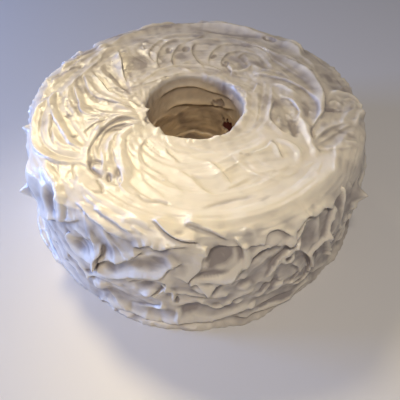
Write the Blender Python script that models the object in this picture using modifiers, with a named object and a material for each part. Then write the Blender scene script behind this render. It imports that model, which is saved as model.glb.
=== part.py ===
"""Red velvet pound cake: a ring baked in a tube pan, covered with swirled cream-cheese frosting.

One solid in metres, +Z up. The underside is flat on z = 0 and the origin is the middle of
the underside's box. Angles run anticlockwise from +X, seen from above; the front is at 270.
"""
import math
import random

import bpy
import numpy as np
from mathutils import Vector

# Driving dimensions, in metres
CAKE_HEIGHT = 0.0975          # mean height of the frosted top
HOLE_RADIUS_FOOT = 0.0345     # the tube's narrow end
HOLE_RADIUS_TOP = 0.0380
SHOULDER_RADIUS = 0.1305      # outer radius just under the rounded top edge
FOOT_RADIUS = 0.1370          # outer radius just above the board
SKIRT_RADIUS = 0.1430         # frosting smeared out on the board
SKIRT_THICKNESS = 0.0022
RIM_FILLET = 0.0055           # top edge of the hole
SHOULDER_FILLET = 0.0150      # top outer edge
FOOT_FILLET = 0.0030
TOP_SWELL = 0.0022            # how much wider the top is all round than its plain outline
TOP_SHIFT = 0.0026            # how far the top sits off the foot's centre
TOP_SHIFT_ANGLE = 20.0        # direction of that shift, in degrees
SKIRT_STRETCH = 0.0025        # extra reach of the skirt to the left and right
SHOULDER_WEAR = 0.0045        # how much lower the shoulder is at the front right
WORN_ANGLES = (258, 352)      # where that lower shoulder starts and ends, in degrees

# Mesh size: about 9,900 triangles
AROUND = 110                  # segments around the axis
OUTLINE_POINTS = 45           # points up the hole, over the top and down the side

# Spatula strokes
STROKE_STEP = 0.003           # spacing of the points along a stroke
SCATTERED_STROKES = 150
SEED = 11
EDGE_WIDTH = 0.0045           # how far a lip falls off outside its stroke
STILL_HEIGHT = 0.004          # the relief fades out below this height, so the foot stays flat
RELIEF_GAIN = 1.9             # softening flattens the strokes, so they are pressed deeper
SOFTENING_PASSES = 2          # each one blends the relief with its neighbours

FROSTING_COLOUR = (0.86, 0.78, 0.66, 1.0)


def clear_scene():
    """Remove the objects that Blender starts with."""
    for leftover in list(bpy.data.objects):
        bpy.data.objects.remove(leftover, do_unlink=True)


def rounded_outline(corners, arc_steps=8):
    """Outline through (radius, height, fillet) corners, with each corner rounded by an arc."""
    points = []
    for index, (radius, height, fillet) in enumerate(corners):
        here = Vector((radius, height))
        if fillet == 0.0:
            points.append(here)
            continue
        before = (Vector(corners[index - 1][:2]) - here).normalized()
        after = (Vector(corners[index + 1][:2]) - here).normalized()
        half_angle = before.angle(after) / 2
        centre = here + (before + after).normalized() * (fillet / math.sin(half_angle))
        start = here + before * (fillet / math.tan(half_angle)) - centre
        end = here + after * (fillet / math.tan(half_angle)) - centre
        for step in range(arc_steps + 1):
            blend = step / arc_steps
            spoke = start.lerp(end, blend).normalized() * fillet
            points.append(centre + spoke)
    return np.array([tuple(point) for point in points])


def cake_outline():
    """Half section of the cake, from the hole's foot up, over the top and down to the board."""
    return rounded_outline([
        (HOLE_RADIUS_FOOT, 0.0, 0.0),
        (HOLE_RADIUS_TOP, CAKE_HEIGHT, RIM_FILLET),
        (SHOULDER_RADIUS - 0.001, CAKE_HEIGHT, SHOULDER_FILLET),
        (FOOT_RADIUS, SKIRT_THICKNESS + 0.002, FOOT_FILLET),
        (SKIRT_RADIUS, SKIRT_THICKNESS, 0.0),
        (SKIRT_RADIUS, 0.0, 0.0),
    ])


def arc_lengths(outline):
    """Distance of each outline point from the first, along the outline."""
    return np.concatenate([[0.0], np.cumsum(np.hypot(*np.diff(outline, axis=0).T))])


OUTLINE = cake_outline()
LENGTHS = arc_lengths(OUTLINE)


def outline_at(distance):
    """Radius and height at a distance along the outline."""
    return np.interp(distance, LENGTHS, OUTLINE[:, 0]), np.interp(distance, LENGTHS, OUTLINE[:, 1])


def top(angle, radius):
    """A place on the cake's top, as (angle, distance along the outline); radius in millimetres."""
    on_top = OUTLINE[:, 1] > CAKE_HEIGHT - SHOULDER_FILLET
    return angle, np.interp(radius / 1000, OUTLINE[on_top, 0], LENGTHS[on_top])


def side(angle, height):
    """A place on the cake's side, as (angle, distance along the outline); height in millimetres."""
    on_side = (OUTLINE[:, 0] > SHOULDER_RADIUS - SHOULDER_FILLET) & (LENGTHS > LENGTHS[-1] / 2)
    return angle, np.interp(-height / 1000, -OUTLINE[on_side, 1], LENGTHS[on_side])


def surface_point(angle, distance):
    """Point of the plain, unswirled surface."""
    radius, height = outline_at(distance)
    turn = np.radians(angle)
    return np.stack([radius * np.cos(turn), radius * np.sin(turn), height + 0 * radius], axis=-1)


def surface_normal(distance, angle):
    """Outward normal of the plain surface."""
    step = 0.002
    radius_0, height_0 = outline_at(distance - step)
    radius_1, height_1 = outline_at(distance + step)
    length = np.hypot(radius_1 - radius_0, height_1 - height_0) + 1e-9
    outward = -(height_1 - height_0) / length
    upward = (radius_1 - radius_0) / length
    turn = np.radians(angle)
    return np.stack([outward * np.cos(turn), outward * np.sin(turn), upward], axis=-1)


def stroke_path(knots):
    """Smooth path on the surface through a few (angle, distance) knots."""
    knots = np.array(knots, dtype=float)
    knots[:, 0] = np.degrees(np.unwrap(np.radians(knots[:, 0])))
    padded = np.vstack([2 * knots[0] - knots[1], knots, 2 * knots[-1] - knots[-2]])
    pieces = []
    for p0, p1, p2, p3 in zip(padded, padded[1:], padded[2:], padded[3:]):
        span = np.linalg.norm(surface_point(*p2) - surface_point(*p1))
        t = np.linspace(0, 1, max(3, int(span / STROKE_STEP)), endpoint=False)[:, None]
        pieces.append(0.5 * (2 * p1 + (p2 - p0) * t + (2 * p0 - 5 * p1 + 4 * p2 - p3) * t ** 2
                             + (3 * p1 - p0 - 3 * p2 + p3) * t ** 3))
    return np.vstack(pieces + [knots[-1:]])


# The cake's main swirls: (half width, groove depth, lip height, knots). Lengths in metres,
# places in degrees and millimetres. The lip stands on the path's right-hand side.
MAIN_SWIRLS = [
    # long low strokes round the front of the top
    (0.013, 0.0007, 0.0011, [top(225, 60), top(262, 74), top(300, 84), top(335, 96)]),
    (0.012, 0.0007, 0.0011, [top(232, 84), top(266, 98), top(303, 104), top(340, 110)]),
    (0.010, 0.0005, 0.0008, [top(236, 113), top(262, 118), top(298, 119), top(332, 120)]),
    # two ribbons that curl round the left, and the two arches beside the hole
    (0.007, 0.0016, 0.0022, [top(174, 108), top(188, 102), top(200, 95), top(213, 90)]),
    (0.008, 0.0018, 0.0026, [top(180, 112), top(196, 117), top(208, 113), top(216, 102), top(220, 92)]),
    (0.008, 0.0018, 0.0024, [top(224, 92), top(208, 76), top(201, 60), top(208, 44)]),
    (0.009, 0.0018, 0.0024, [top(242, 90), top(228, 74), top(214, 58), top(216, 42)]),
    # fan that runs into the left of the hole
    (0.011, 0.0014, 0.0020, [top(176, 98), top(186, 72), top(196, 44)]),
    (0.010, 0.0016, 0.0024, [top(154, 100), top(166, 74), top(182, 48)]),
    # arches along the back, and the free edge on the rim behind them
    (0.010, 0.0020, 0.0026, [top(124, 62), top(116, 86), top(102, 96), top(84, 98)]),
    (0.010, 0.0022, 0.0028, [top(80, 54), top(78, 80), top(64, 96), top(38, 94)]),
    (0.010, 0.0016, 0.0028, [top(34, 118), top(50, 121), top(66, 118), top(88, 118)]),
    # wide arc on the right and the hollow inside it
    (0.011, 0.0022, 0.0032, [top(-22, 86), top(-6, 94), top(10, 99), top(28, 102), top(44, 98)]),
    (0.010, 0.0032, 0.0020, [top(4, 68), top(348, 70), top(338, 80)]),
    # side, from the left: flap and hollow, two layers that rise to the right
    (0.010, 0.0020, 0.0034, [side(198, 70), side(210, 66), side(222, 68)]),
    (0.012, 0.0038, 0.0020, [side(223, 98), side(222, 82), side(226, 68)]),
    (0.009, 0.0022, 0.0032, [side(240, 44), side(242, 58), side(250, 74), side(262, 86)]),
    (0.009, 0.0022, 0.0032, [side(240, 34), side(250, 44), side(259, 56), side(268, 76)]),
    # fold over the rim, spiral hollow, the long fold, the scooped wall and the hanging tatter
    (0.010, 0.0014, 0.0034, [top(254, 108), top(262, 114), top(270, 119), top(279, 119)]),
    (0.011, 0.0030, 0.0042, [side(270, 48), side(277, 68), side(285, 84), side(298, 92)]),
    (0.012, 0.0050, 0.0014, [side(280, 96), side(279, 84), side(276, 72)]),
    (0.010, 0.0036, 0.0026, [side(296, 40), side(303, 58), side(309, 78)]),
    (0.009, 0.0028, 0.0042, [side(323, 88), side(319, 66), side(324, 38)]),
    # ridge just above the board
    (0.007, 0.0006, 0.0022, [side(240, 13), side(262, 13), side(280, 19), side(291, 26)]),
]


def scattered_swirls():
    """The swirls between the main ones: short arcs, long along the rim and steep on the side."""
    dice = random.Random(SEED)
    swirls = []
    top_start, top_end = top(0, 42)[1], LENGTHS[-1] - 0.012
    for _ in range(SCATTERED_STROKES):
        angle = dice.uniform(0, 360)
        distance = dice.uniform(top_start, top_end)
        radius = max(outline_at(distance)[0], 0.05)
        reach = dice.uniform(0.018, 0.034)
        bend = dice.choice([-1, 1]) * dice.uniform(0.3, 0.9) * reach
        slope = dice.uniform(-0.7, 0.7)
        knots = []
        for along in (-1.0, -0.3, 0.3, 1.0):
            across = bend * (1 - along ** 2) + slope * reach * along
            knots.append((angle + math.degrees(along * reach / radius), distance + across))
        swirls.append((dice.uniform(0.007, 0.011), dice.uniform(0.001, 0.0024),
                       dice.uniform(0.0012, 0.0028), knots))
    return swirls


def press_stroke(heights, places, half_width, depth, lip, knots):
    """Press one groove with a lip on its right into the relief. A later stroke covers an earlier one."""
    path = stroke_path(knots)
    centre_line = surface_point(path[:, 0], path[:, 1])
    ahead = np.gradient(centre_line, axis=0)
    ahead /= np.linalg.norm(ahead, axis=1)[:, None]
    right = np.cross(ahead, surface_normal(path[:, 1], path[:, 0]))
    gaps = places[:, None, :] - centre_line[None]
    nearest = np.argmin((gaps ** 2).sum(axis=2), axis=1)
    gap = gaps[np.arange(len(places)), nearest]
    across = (gap * right[nearest]).sum(axis=1)
    beyond = np.abs((gap * ahead[nearest]).sum(axis=1))
    progress = nearest / (len(path) - 1)
    taper = half_width * (0.45 + 0.55 * np.sin(np.pi * np.clip(progress, 0.04, 0.96)))
    ratio = across / taper
    inside = (np.abs(ratio) <= 1.0) & (beyond < STROKE_STEP)
    groove = -depth + (depth + lip) * np.clip(ratio, 0, 1) ** 3 + depth * 0.6 * np.clip(-ratio, 0, 1) ** 2
    heights[inside] = groove[inside]
    edge = (ratio > 1.0) & (across < taper + EDGE_WIDTH) & (beyond < STROKE_STEP)
    fall = lip * (1 - (across - taper) / EDGE_WIDTH)
    heights[edge] = np.maximum(heights[edge], fall[edge])


def smooth_step(x):
    x = np.clip(x, 0, 1)
    return x * x * (3 - 2 * x)


def shoulder_wear(places):
    """How far the shoulder is taken down at each place: at the front right the blade ran off it."""
    start, end = WORN_ANGLES
    turn = np.degrees(np.arctan2(places[:, 1], places[:, 0])) % 360
    radius = np.hypot(places[:, 0], places[:, 1])
    round_front = smooth_step((turn - start) / 25) * smooth_step((end - turn) / 35)
    over_edge = smooth_step((radius - 0.108) / 0.021) * smooth_step((places[:, 2] - 0.062) / 0.031)
    return SHOULDER_WEAR * round_front * over_edge


def frosting_relief(places):
    """Height of the swirls above the plain surface, at each place."""
    heights = np.zeros(len(places))
    for half_width, depth, lip, knots in scattered_swirls() + MAIN_SWIRLS:
        press_stroke(heights, places, half_width, RELIEF_GAIN * depth, RELIEF_GAIN * lip, knots)
    return heights - shoulder_wear(places)


def soften(heights, mesh):
    """Blend each point's height with the mean of its neighbours, as soft frosting settles."""
    edges = np.array([edge.vertices[:] for edge in mesh.edges])
    neighbours = np.bincount(edges.ravel(), minlength=len(heights))
    for _ in range(SOFTENING_PASSES):
        total = np.zeros(len(heights))
        np.add.at(total, edges[:, 0], heights[edges[:, 1]])
        np.add.at(total, edges[:, 1], heights[edges[:, 0]])
        heights = (heights + total / neighbours) / 2
    return heights


def unevenness(places):
    """How far each place stands out from the plain outline, along the radius."""
    turn = np.arctan2(places[:, 1], places[:, 0])
    outer = np.clip((np.hypot(places[:, 0], places[:, 1]) - 0.6 * SHOULDER_RADIUS) / 0.04, 0, 1)
    rise = places[:, 2] / CAKE_HEIGHT
    top_part = TOP_SWELL + TOP_SHIFT * np.cos(turn - math.radians(TOP_SHIFT_ANGLE))
    skirt_part = SKIRT_STRETCH * np.cos(turn) ** 2
    return outer * (top_part * rise + skirt_part * (1 - rise))


def swirl_frosting(mesh):
    """Move the turned mesh's outer points along the surface normal by the relief."""
    places = np.empty(len(mesh.vertices) * 3)
    mesh.vertices.foreach_get("co", places)
    places = places.reshape(-1, 3)
    normals = np.empty(len(mesh.vertices) * 3)
    mesh.vertices.foreach_get("normal", normals)
    normals = normals.reshape(-1, 3)
    fade = np.clip((places[:, 2] - STILL_HEIGHT) / STILL_HEIGHT, 0, 1)
    in_hole = np.hypot(places[:, 0], places[:, 1]) < HOLE_RADIUS_TOP + 0.001
    fade[in_hole] *= np.clip(places[in_hole, 2] / CAKE_HEIGHT, 0, 1) ** 2
    stretch = 1 + unevenness(places) / np.hypot(places[:, 0], places[:, 1])
    places += normals * (soften(frosting_relief(places), mesh) * fade)[:, None]
    places[:, :2] *= stretch[:, None]
    middle = (places.min(axis=0) + places.max(axis=0)) / 2
    places[:, :2] -= middle[:2]
    mesh.vertices.foreach_set("co", places.ravel())
    mesh.update()


def frosting_material():
    """Soft cream-cheese frosting."""
    material = bpy.data.materials.new("frosting")
    material.use_nodes = True
    shader = material.node_tree.nodes["Principled BSDF"]
    shader.inputs["Base Color"].default_value = FROSTING_COLOUR
    shader.inputs["Roughness"].default_value = 0.45
    shader.inputs["Metallic"].default_value = 0.0
    return material


def build_cake(collection):
    """Turn the outline into a ring, then swirl its surface."""
    outer = np.linspace(0.0, LENGTHS[-1], OUTLINE_POINTS)
    radius, height = outline_at(outer)
    profile = bpy.data.meshes.new("cake_profile")
    points = [(r, 0.0, z) for r, z in zip(radius, height)]
    count = len(points)
    profile.from_pydata(points, [(i, (i + 1) % count) for i in range(count)], [])
    turned = bpy.data.objects.new("cake_profile", profile)
    collection.objects.link(turned)
    screw = turned.modifiers.new("Screw", "SCREW")
    screw.axis = "Z"
    screw.steps = AROUND
    screw.render_steps = AROUND
    screw.use_merge_vertices = True
    screw.merge_threshold = 0.0001
    depsgraph = bpy.context.evaluated_depsgraph_get()
    mesh = bpy.data.meshes.new_from_object(turned.evaluated_get(depsgraph))
    bpy.data.objects.remove(turned, do_unlink=True)
    mesh.name = "frosted_cake"
    swirl_frosting(mesh)
    mesh.shade_smooth()
    mesh.set_sharp_from_angle(angle=math.radians(50))
    mesh.materials.clear()
    mesh.materials.append(frosting_material())
    cake = bpy.data.objects.new("frosted_cake", mesh)
    collection.objects.link(cake)
    return cake


def main():
    clear_scene()
    collection = bpy.data.collections.new("red_velvet_pound_cake")
    bpy.context.scene.collection.children.link(collection)
    build_cake(collection)


main()
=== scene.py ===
"""Looks of the frosted red velvet pound cake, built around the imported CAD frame."""
import math
import random

import bmesh
import bpy
import numpy as np
from mathutils import Matrix, Vector


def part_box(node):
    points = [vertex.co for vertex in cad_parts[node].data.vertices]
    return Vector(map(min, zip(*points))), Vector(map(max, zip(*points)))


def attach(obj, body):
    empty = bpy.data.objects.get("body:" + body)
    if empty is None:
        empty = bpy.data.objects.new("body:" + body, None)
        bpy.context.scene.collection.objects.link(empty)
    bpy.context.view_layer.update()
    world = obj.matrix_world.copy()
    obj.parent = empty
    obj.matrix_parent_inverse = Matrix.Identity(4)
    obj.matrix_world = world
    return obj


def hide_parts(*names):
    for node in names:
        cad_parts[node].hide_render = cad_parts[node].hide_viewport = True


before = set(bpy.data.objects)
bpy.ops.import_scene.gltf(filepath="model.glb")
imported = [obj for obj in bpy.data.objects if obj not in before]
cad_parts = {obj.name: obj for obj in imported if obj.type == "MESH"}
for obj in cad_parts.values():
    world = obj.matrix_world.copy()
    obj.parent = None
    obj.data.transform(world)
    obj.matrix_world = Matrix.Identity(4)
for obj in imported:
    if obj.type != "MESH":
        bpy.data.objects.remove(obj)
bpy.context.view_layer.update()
BOX_LOW, BOX_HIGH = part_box("frosted_cake")

# ---------------------------------------------------------------- sizes, in metres
MM = 0.001
SKIRT_RADIUS = (BOX_HIGH[1] - BOX_LOW[1]) / 2
SKIRT_STRETCH = (BOX_HIGH[0] - BOX_LOW[0]) / 2 - SKIRT_RADIUS  # extra reach to the left and right
RELIEF_HEADROOM = 0.0037  # the highest ridges of the CAD solid
CAKE_HEIGHT = BOX_HIGH[2] - RELIEF_HEADROOM  # mean height of the top
HOLE_RADIUS_FOOT = SKIRT_RADIUS - 0.1085
HOLE_RADIUS_TOP = SKIRT_RADIUS - 0.1050
SHOULDER_RADIUS = SKIRT_RADIUS - 0.0125
FOOT_RADIUS = SKIRT_RADIUS - 0.0060
SKIRT_THICKNESS = 0.0016
RIM_FILLET = 0.0032
SHOULDER_FILLET = 0.0150
FOOT_FILLET = 0.0030
TOP_SWELL = 0.0022  # how much wider the top is all round than its plain outline
TOP_SHIFT = 0.0026  # how far the top sits off the foot's centre
TOP_SHIFT_ANGLE = 20.0  # direction of that shift, in degrees

AROUND = 1300  # grid columns around the axis
ROWS = 410  # grid rows from the hole's foot to the skirt
COAT_TRIANGLES = 196000
SEED = 5

BROAD_WAVES = 0.0008  # height of the coat's broad unevenness
FINE_WAVES = 0.00016  # height of the ripple over every mark
SHOULDER_WEAR = 0.0045  # how far the shoulder is taken down at the front right
UNDERSIDE_RECESS = 0.0012  # how far the bare sponge lies up inside the frosting's rim
FOOT_RIM = 0.0082  # width of the frosting's rim under the cake, at the foot
HOLE_RIM = 0.0030  # and round the hole

SPONGE_BELOW_COAT = 0.0028  # how far the sponge lies inside the hole's plain wall
SPONGE_DROP = 0.009  # how far it lies below the top
SPONGE_INSET = 0.012  # how far it lies inside the shoulder
SPONGE_LIFT = 0.0001  # and above the board
SPONGE_ROUGHNESS = 0.0003
SPONGE_ROWS = 60
SPONGE_AROUND = 300

# How far the smear of frosting on the board reaches at each angle, as a share of the skirt's width
SKIRT_REACH = ((0, 1.0), (40, 0.3), (90, 0.9), (150, 0.4), (190, 1.0), (205, 1.0), (222, 0.1), (242, 0.2),
               (250, 0.9), (268, 1.0), (284, 0.9), (292, 1.0), (300, 0.1), (318, 0.2), (334, 0.9),
               (360, 1.0))

# ---------------------------------------------------------------- colours and camera
CREAM_COLOUR = (0.90, 0.82, 0.70)
THIN_AND_SHADE_COLOUR = (0.38, 0.33, 0.31)  # frosting where the dark cake comes through, and painted shade in hollows, at fold feet, over the back and below the right shoulder
HOLE_SHADE_TINT = (0.86, 0.74, 0.55)  # painted shade: multiplies the frosting's colour, browner and darker deeper down the hole
HOLLOW_SHADE = 0.80  # painted shade: how much greyer a hollow 1 mm deep is on the side, and how much lighter a rise is
HOLLOW_SHADE_LESS_ON_TOP = 0.40
SPONGE_DARK = (0.07, 0.012, 0.008)
SPONGE_LIGHT = (0.17, 0.026, 0.018)
FLOOR_COLOUR = (0.78, 0.76, 0.76)
WORLD_COLOUR = (0.97, 0.95, 0.98)
WORLD_STRENGTH = 0.15

CAMERA_PLACE = Vector((0.0057, -0.2690, 0.3133))
CAMERA_PITCH = math.radians(51.2)
CAMERA_ROLL = math.radians(1.6)
CAMERA_LENS = 38.97
CAMERA_SENSOR = 36.0


# ---------------------------------------------------------------- the plain, unswirled surface
def rounded_outline(corners, arc_steps=10):
    """Outline through (radius, height, fillet) corners, each rounded by an arc."""
    points = []
    for index, (radius, height, fillet) in enumerate(corners):
        here = Vector((radius, height))
        if fillet == 0.0:
            points.append(here)
            continue
        before = (Vector(corners[index - 1][:2]) - here).normalized()
        after = (Vector(corners[index + 1][:2]) - here).normalized()
        half_angle = before.angle(after) / 2
        centre = here + (before + after).normalized() * (fillet / math.sin(half_angle))
        start = here + before * (fillet / math.tan(half_angle)) - centre
        end = here + after * (fillet / math.tan(half_angle)) - centre
        for step in range(arc_steps + 1):
            points.append(centre + start.lerp(end, step / arc_steps).normalized() * fillet)
    return np.array([tuple(point) for point in points])


def lengths_along(points):
    """Distance of each point of an outline from its first, along the outline."""
    return np.concatenate([[0.0], np.cumsum(np.hypot(*np.diff(points, axis=0).T))])


OUTLINE = rounded_outline([
    (HOLE_RADIUS_FOOT, 0.0, 0.0),
    (HOLE_RADIUS_TOP, CAKE_HEIGHT, RIM_FILLET),
    (SHOULDER_RADIUS - 0.001, CAKE_HEIGHT, SHOULDER_FILLET),
    (FOOT_RADIUS, SKIRT_THICKNESS + 0.002, FOOT_FILLET),
    (SKIRT_RADIUS, SKIRT_THICKNESS, 0.0),
])
LENGTHS = lengths_along(OUTLINE)
TOTAL_LENGTH = LENGTHS[-1]


def outline_at(distance):
    """Radius and height at a distance along the outline."""
    return np.interp(distance, LENGTHS, OUTLINE[:, 0]), np.interp(distance, LENGTHS, OUTLINE[:, 1])


def top(angle, radius):
    """A place on the top as (degrees, distance along the outline); radius in mm."""
    upper = OUTLINE[:, 1] > CAKE_HEIGHT - SHOULDER_FILLET
    return angle, float(np.interp(radius * MM, OUTLINE[upper, 0], LENGTHS[upper]))


def side(angle, height):
    """A place on the side as (degrees, distance along the outline); height in mm."""
    outer = (OUTLINE[:, 0] > SHOULDER_RADIUS - SHOULDER_FILLET) & (LENGTHS > TOTAL_LENGTH / 2)
    return angle, float(np.interp(-height * MM, -OUTLINE[outer, 1], LENGTHS[outer]))


def hole(angle, height):
    """A place on the hole's wall as (degrees, distance along the outline); height in mm."""
    return angle, height * MM


def on_top(*pairs):
    """Path through places on the top, each as (degrees, radius in mm)."""
    return [top(*pair) for pair in pairs]


def on_side(*pairs):
    """Path through places on the side, each as (degrees, height in mm)."""
    return [side(*pair) for pair in pairs]


def in_hole(*pairs):
    """Path through places on the hole's wall, each as (degrees, height in mm)."""
    return [hole(*pair) for pair in pairs]


def surface_point(angle, distance):
    """Place in space of a place on the plain surface."""
    radius, height = outline_at(distance)
    turn = np.radians(angle)
    return np.stack([radius * np.cos(turn), radius * np.sin(turn), height + 0 * turn], axis=-1)


def surface_normal(angle, distance):
    """Outward direction at a place on the plain surface, smoothed over its fillets."""
    smoothing = 0.0022
    radius_0, height_0 = outline_at(np.clip(distance - smoothing, 0, TOTAL_LENGTH))
    radius_1, height_1 = outline_at(np.clip(distance + smoothing, 0, TOTAL_LENGTH))
    length = np.hypot(radius_1 - radius_0, height_1 - height_0) + 1e-9
    outward = -(height_1 - height_0) / length
    upward = (radius_1 - radius_0) / length
    turn = np.radians(angle)
    return np.stack([outward * np.cos(turn), outward * np.sin(turn), upward + 0 * turn], axis=-1)


# Crumbs on the frosting, as places and widths in millimetres
CRUMBS = ((side(319.5, 51), 1.5), (side(321, 49), 0.8), (side(231, 67), 1.0), (side(219, 28), 1.0),
          (side(313, 45), 1.0), (side(311.5, 52), 1.4), (hole(44, 60), 1.6), (hole(37, 50), 1.3),
          (hole(99, 29), 1.0), (side(262, 3), 0.8), (side(247, 2), 0.7), (side(300, 3), 0.9),
          (side(120, 44), 1.2), (side(70, 22), 1.4), (side(20, 60), 1.0), (side(160, 70), 1.0))


# ---------------------------------------------------------------- noise
def wave_noise(dice, count, shortest, longest):
    """Smooth 1-D noise of about unit height, as a function of a length in metres."""
    lengths = [math.exp(dice.uniform(math.log(shortest), math.log(longest))) for _ in range(count)]
    waves = [(2 * math.pi / length, dice.uniform(0, 2 * math.pi)) for length in lengths]

    def noise(x):
        total = 0 * x
        for rate, phase in waves:
            total = total + np.sin(rate * x + phase)
        return total / math.sqrt(count)
    return noise


def field_noise(places, dice, count, shortest, longest):
    """Smooth 3-D noise of about unit height at each place."""
    total = np.zeros(places.shape[:-1])
    for _ in range(count):
        heading = Vector([dice.gauss(0, 1) for _ in range(3)]).normalized()
        length = math.exp(dice.uniform(math.log(shortest), math.log(longest)))
        total += np.sin(places @ (np.array(heading) * 2 * math.pi / length) + dice.uniform(0, 6.283))
    return total / math.sqrt(count)


# ---------------------------------------------------------------- the coat of frosting
class Coat:
    """A grid over the cake's surface: how high the frosting stands, how far it leans, how thin it is, with
    painted shade added to that.
    """

    def __init__(self):
        self.angles = np.arange(AROUND) * 360.0 / AROUND
        self.distances = np.linspace(0.0, TOTAL_LENGTH, ROWS)
        angle, distance = np.meshgrid(self.angles, self.distances)
        self.places = surface_point(angle, distance)
        self.normals = surface_normal(angle, distance)
        self.heights = np.zeros(angle.shape)
        self.lean = np.zeros(angle.shape + (3,))
        self.thin = np.zeros(angle.shape)

    def window(self, path, margin):
        """Index arrays of the grid cells that may lie within a margin of the path."""
        radii = outline_at(path[:, 1])[0]
        spare = math.degrees(margin / max(radii.min() - 0.3 * margin, 0.028))
        low_angle = path[:, 0].min() - spare
        high_angle = path[:, 0].max() + spare
        low_row = np.searchsorted(self.distances, path[:, 1].min() - margin)
        high_row = np.searchsorted(self.distances, path[:, 1].max() + margin)
        first = int(math.floor(low_angle / 360 * AROUND))
        count = min(int(math.ceil((high_angle - low_angle) / 360 * AROUND)) + 1, AROUND)
        columns = (first + np.arange(count)) % AROUND
        return np.ix_(np.arange(low_row, high_row), columns)


def smooth_step(x):
    """Rise smoothly from 0 at 0 to 1 at 1."""
    x = np.clip(x, 0, 1)
    return x * x * (3 - 2 * x)


def smooth_path(knots, step):
    """Points every step metres along a smooth curve through (angle, distance) knots, and its length."""
    knots = np.array(knots, dtype=float)
    points = np.vstack([2 * knots[0] - knots[1], knots, 2 * knots[-1] - knots[-2]])
    curve = []
    for index in range(1, len(points) - 2):
        a, b, c, d = points[index - 1:index + 3]
        for t in np.linspace(0, 1, 16, endpoint=False):
            curve.append(0.5 * (2 * b + (c - a) * t + (2 * a - 5 * b + 4 * c - d) * t ** 2
                                + (3 * b - a - 3 * c + d) * t ** 3))
    curve.append(points[-2])
    curve = np.array(curve)
    curve[:, 1] = np.clip(curve[:, 1], 0, TOTAL_LENGTH)
    places = surface_point(curve[:, 0], curve[:, 1])
    lengths = np.concatenate([[0.0], np.cumsum(np.linalg.norm(np.diff(places, axis=0), axis=1))])
    even = np.linspace(0.0, lengths[-1], max(int(lengths[-1] / step), 4))
    return np.stack([np.interp(even, lengths, curve[:, k]) for k in range(2)], axis=1), lengths[-1]


class Strip:
    """The coat's cells near a path, with their distances across it (right is positive) and along it."""

    def __init__(self, coat, knots, margin):
        self.path, self.length = smooth_path(knots, 0.0011)
        self.cells = coat.window(self.path, margin)
        places = coat.places[self.cells].reshape(-1, 3)
        centre = surface_point(self.path[:, 0], self.path[:, 1])
        ahead = np.gradient(centre, axis=0)
        ahead /= np.linalg.norm(ahead, axis=1)[:, None] + 1e-12
        right = np.cross(ahead, surface_normal(self.path[:, 0], self.path[:, 1]))
        right /= np.linalg.norm(right, axis=1)[:, None] + 1e-12
        line = centre.astype(np.float32)
        here = places.astype(np.float32)
        reach = (here ** 2).sum(axis=1)[:, None] + (line ** 2).sum(axis=1)[None] - 2 * here @ line.T
        nearest = np.argmin(reach, axis=1)
        gap = places - centre[nearest]
        self.index = np.nonzero((gap ** 2).sum(axis=1) < margin ** 2)[0]
        self.nearest = nearest[self.index]
        gap = gap[self.index]
        self.right = right[self.nearest]
        self.across = (gap * self.right).sum(axis=1)
        spacing = np.linalg.norm(np.diff(centre, axis=0), axis=1).mean()
        self.along = self.nearest * spacing + (gap * ahead[self.nearest]).sum(axis=1)

    def take(self, grid):
        """Values of one of the coat's grids at the strip's cells."""
        block = grid[self.cells]
        return block.reshape((-1,) + grid.shape[2:])[self.index]

    def put(self, grid, values):
        """Set one of the coat's grids at the strip's cells."""
        block = grid[self.cells]
        flat = block.reshape((-1,) + grid.shape[2:])
        flat[self.index] = values
        grid[self.cells] = flat.reshape(block.shape)

    def add(self, grid, values):
        self.put(grid, self.take(grid) + values)

    def fade_at_ends(self, width, ends):
        """1 along the path, falling to 0 over ends mm at each end, or over a length that suits its width."""
        overrun = np.maximum(-self.along, self.along - self.length)
        fade_length = ends * MM if ends else min(2.5 * width, 0.3 * self.length)
        return smooth_step(0.1 - overrun / fade_length)


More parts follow.
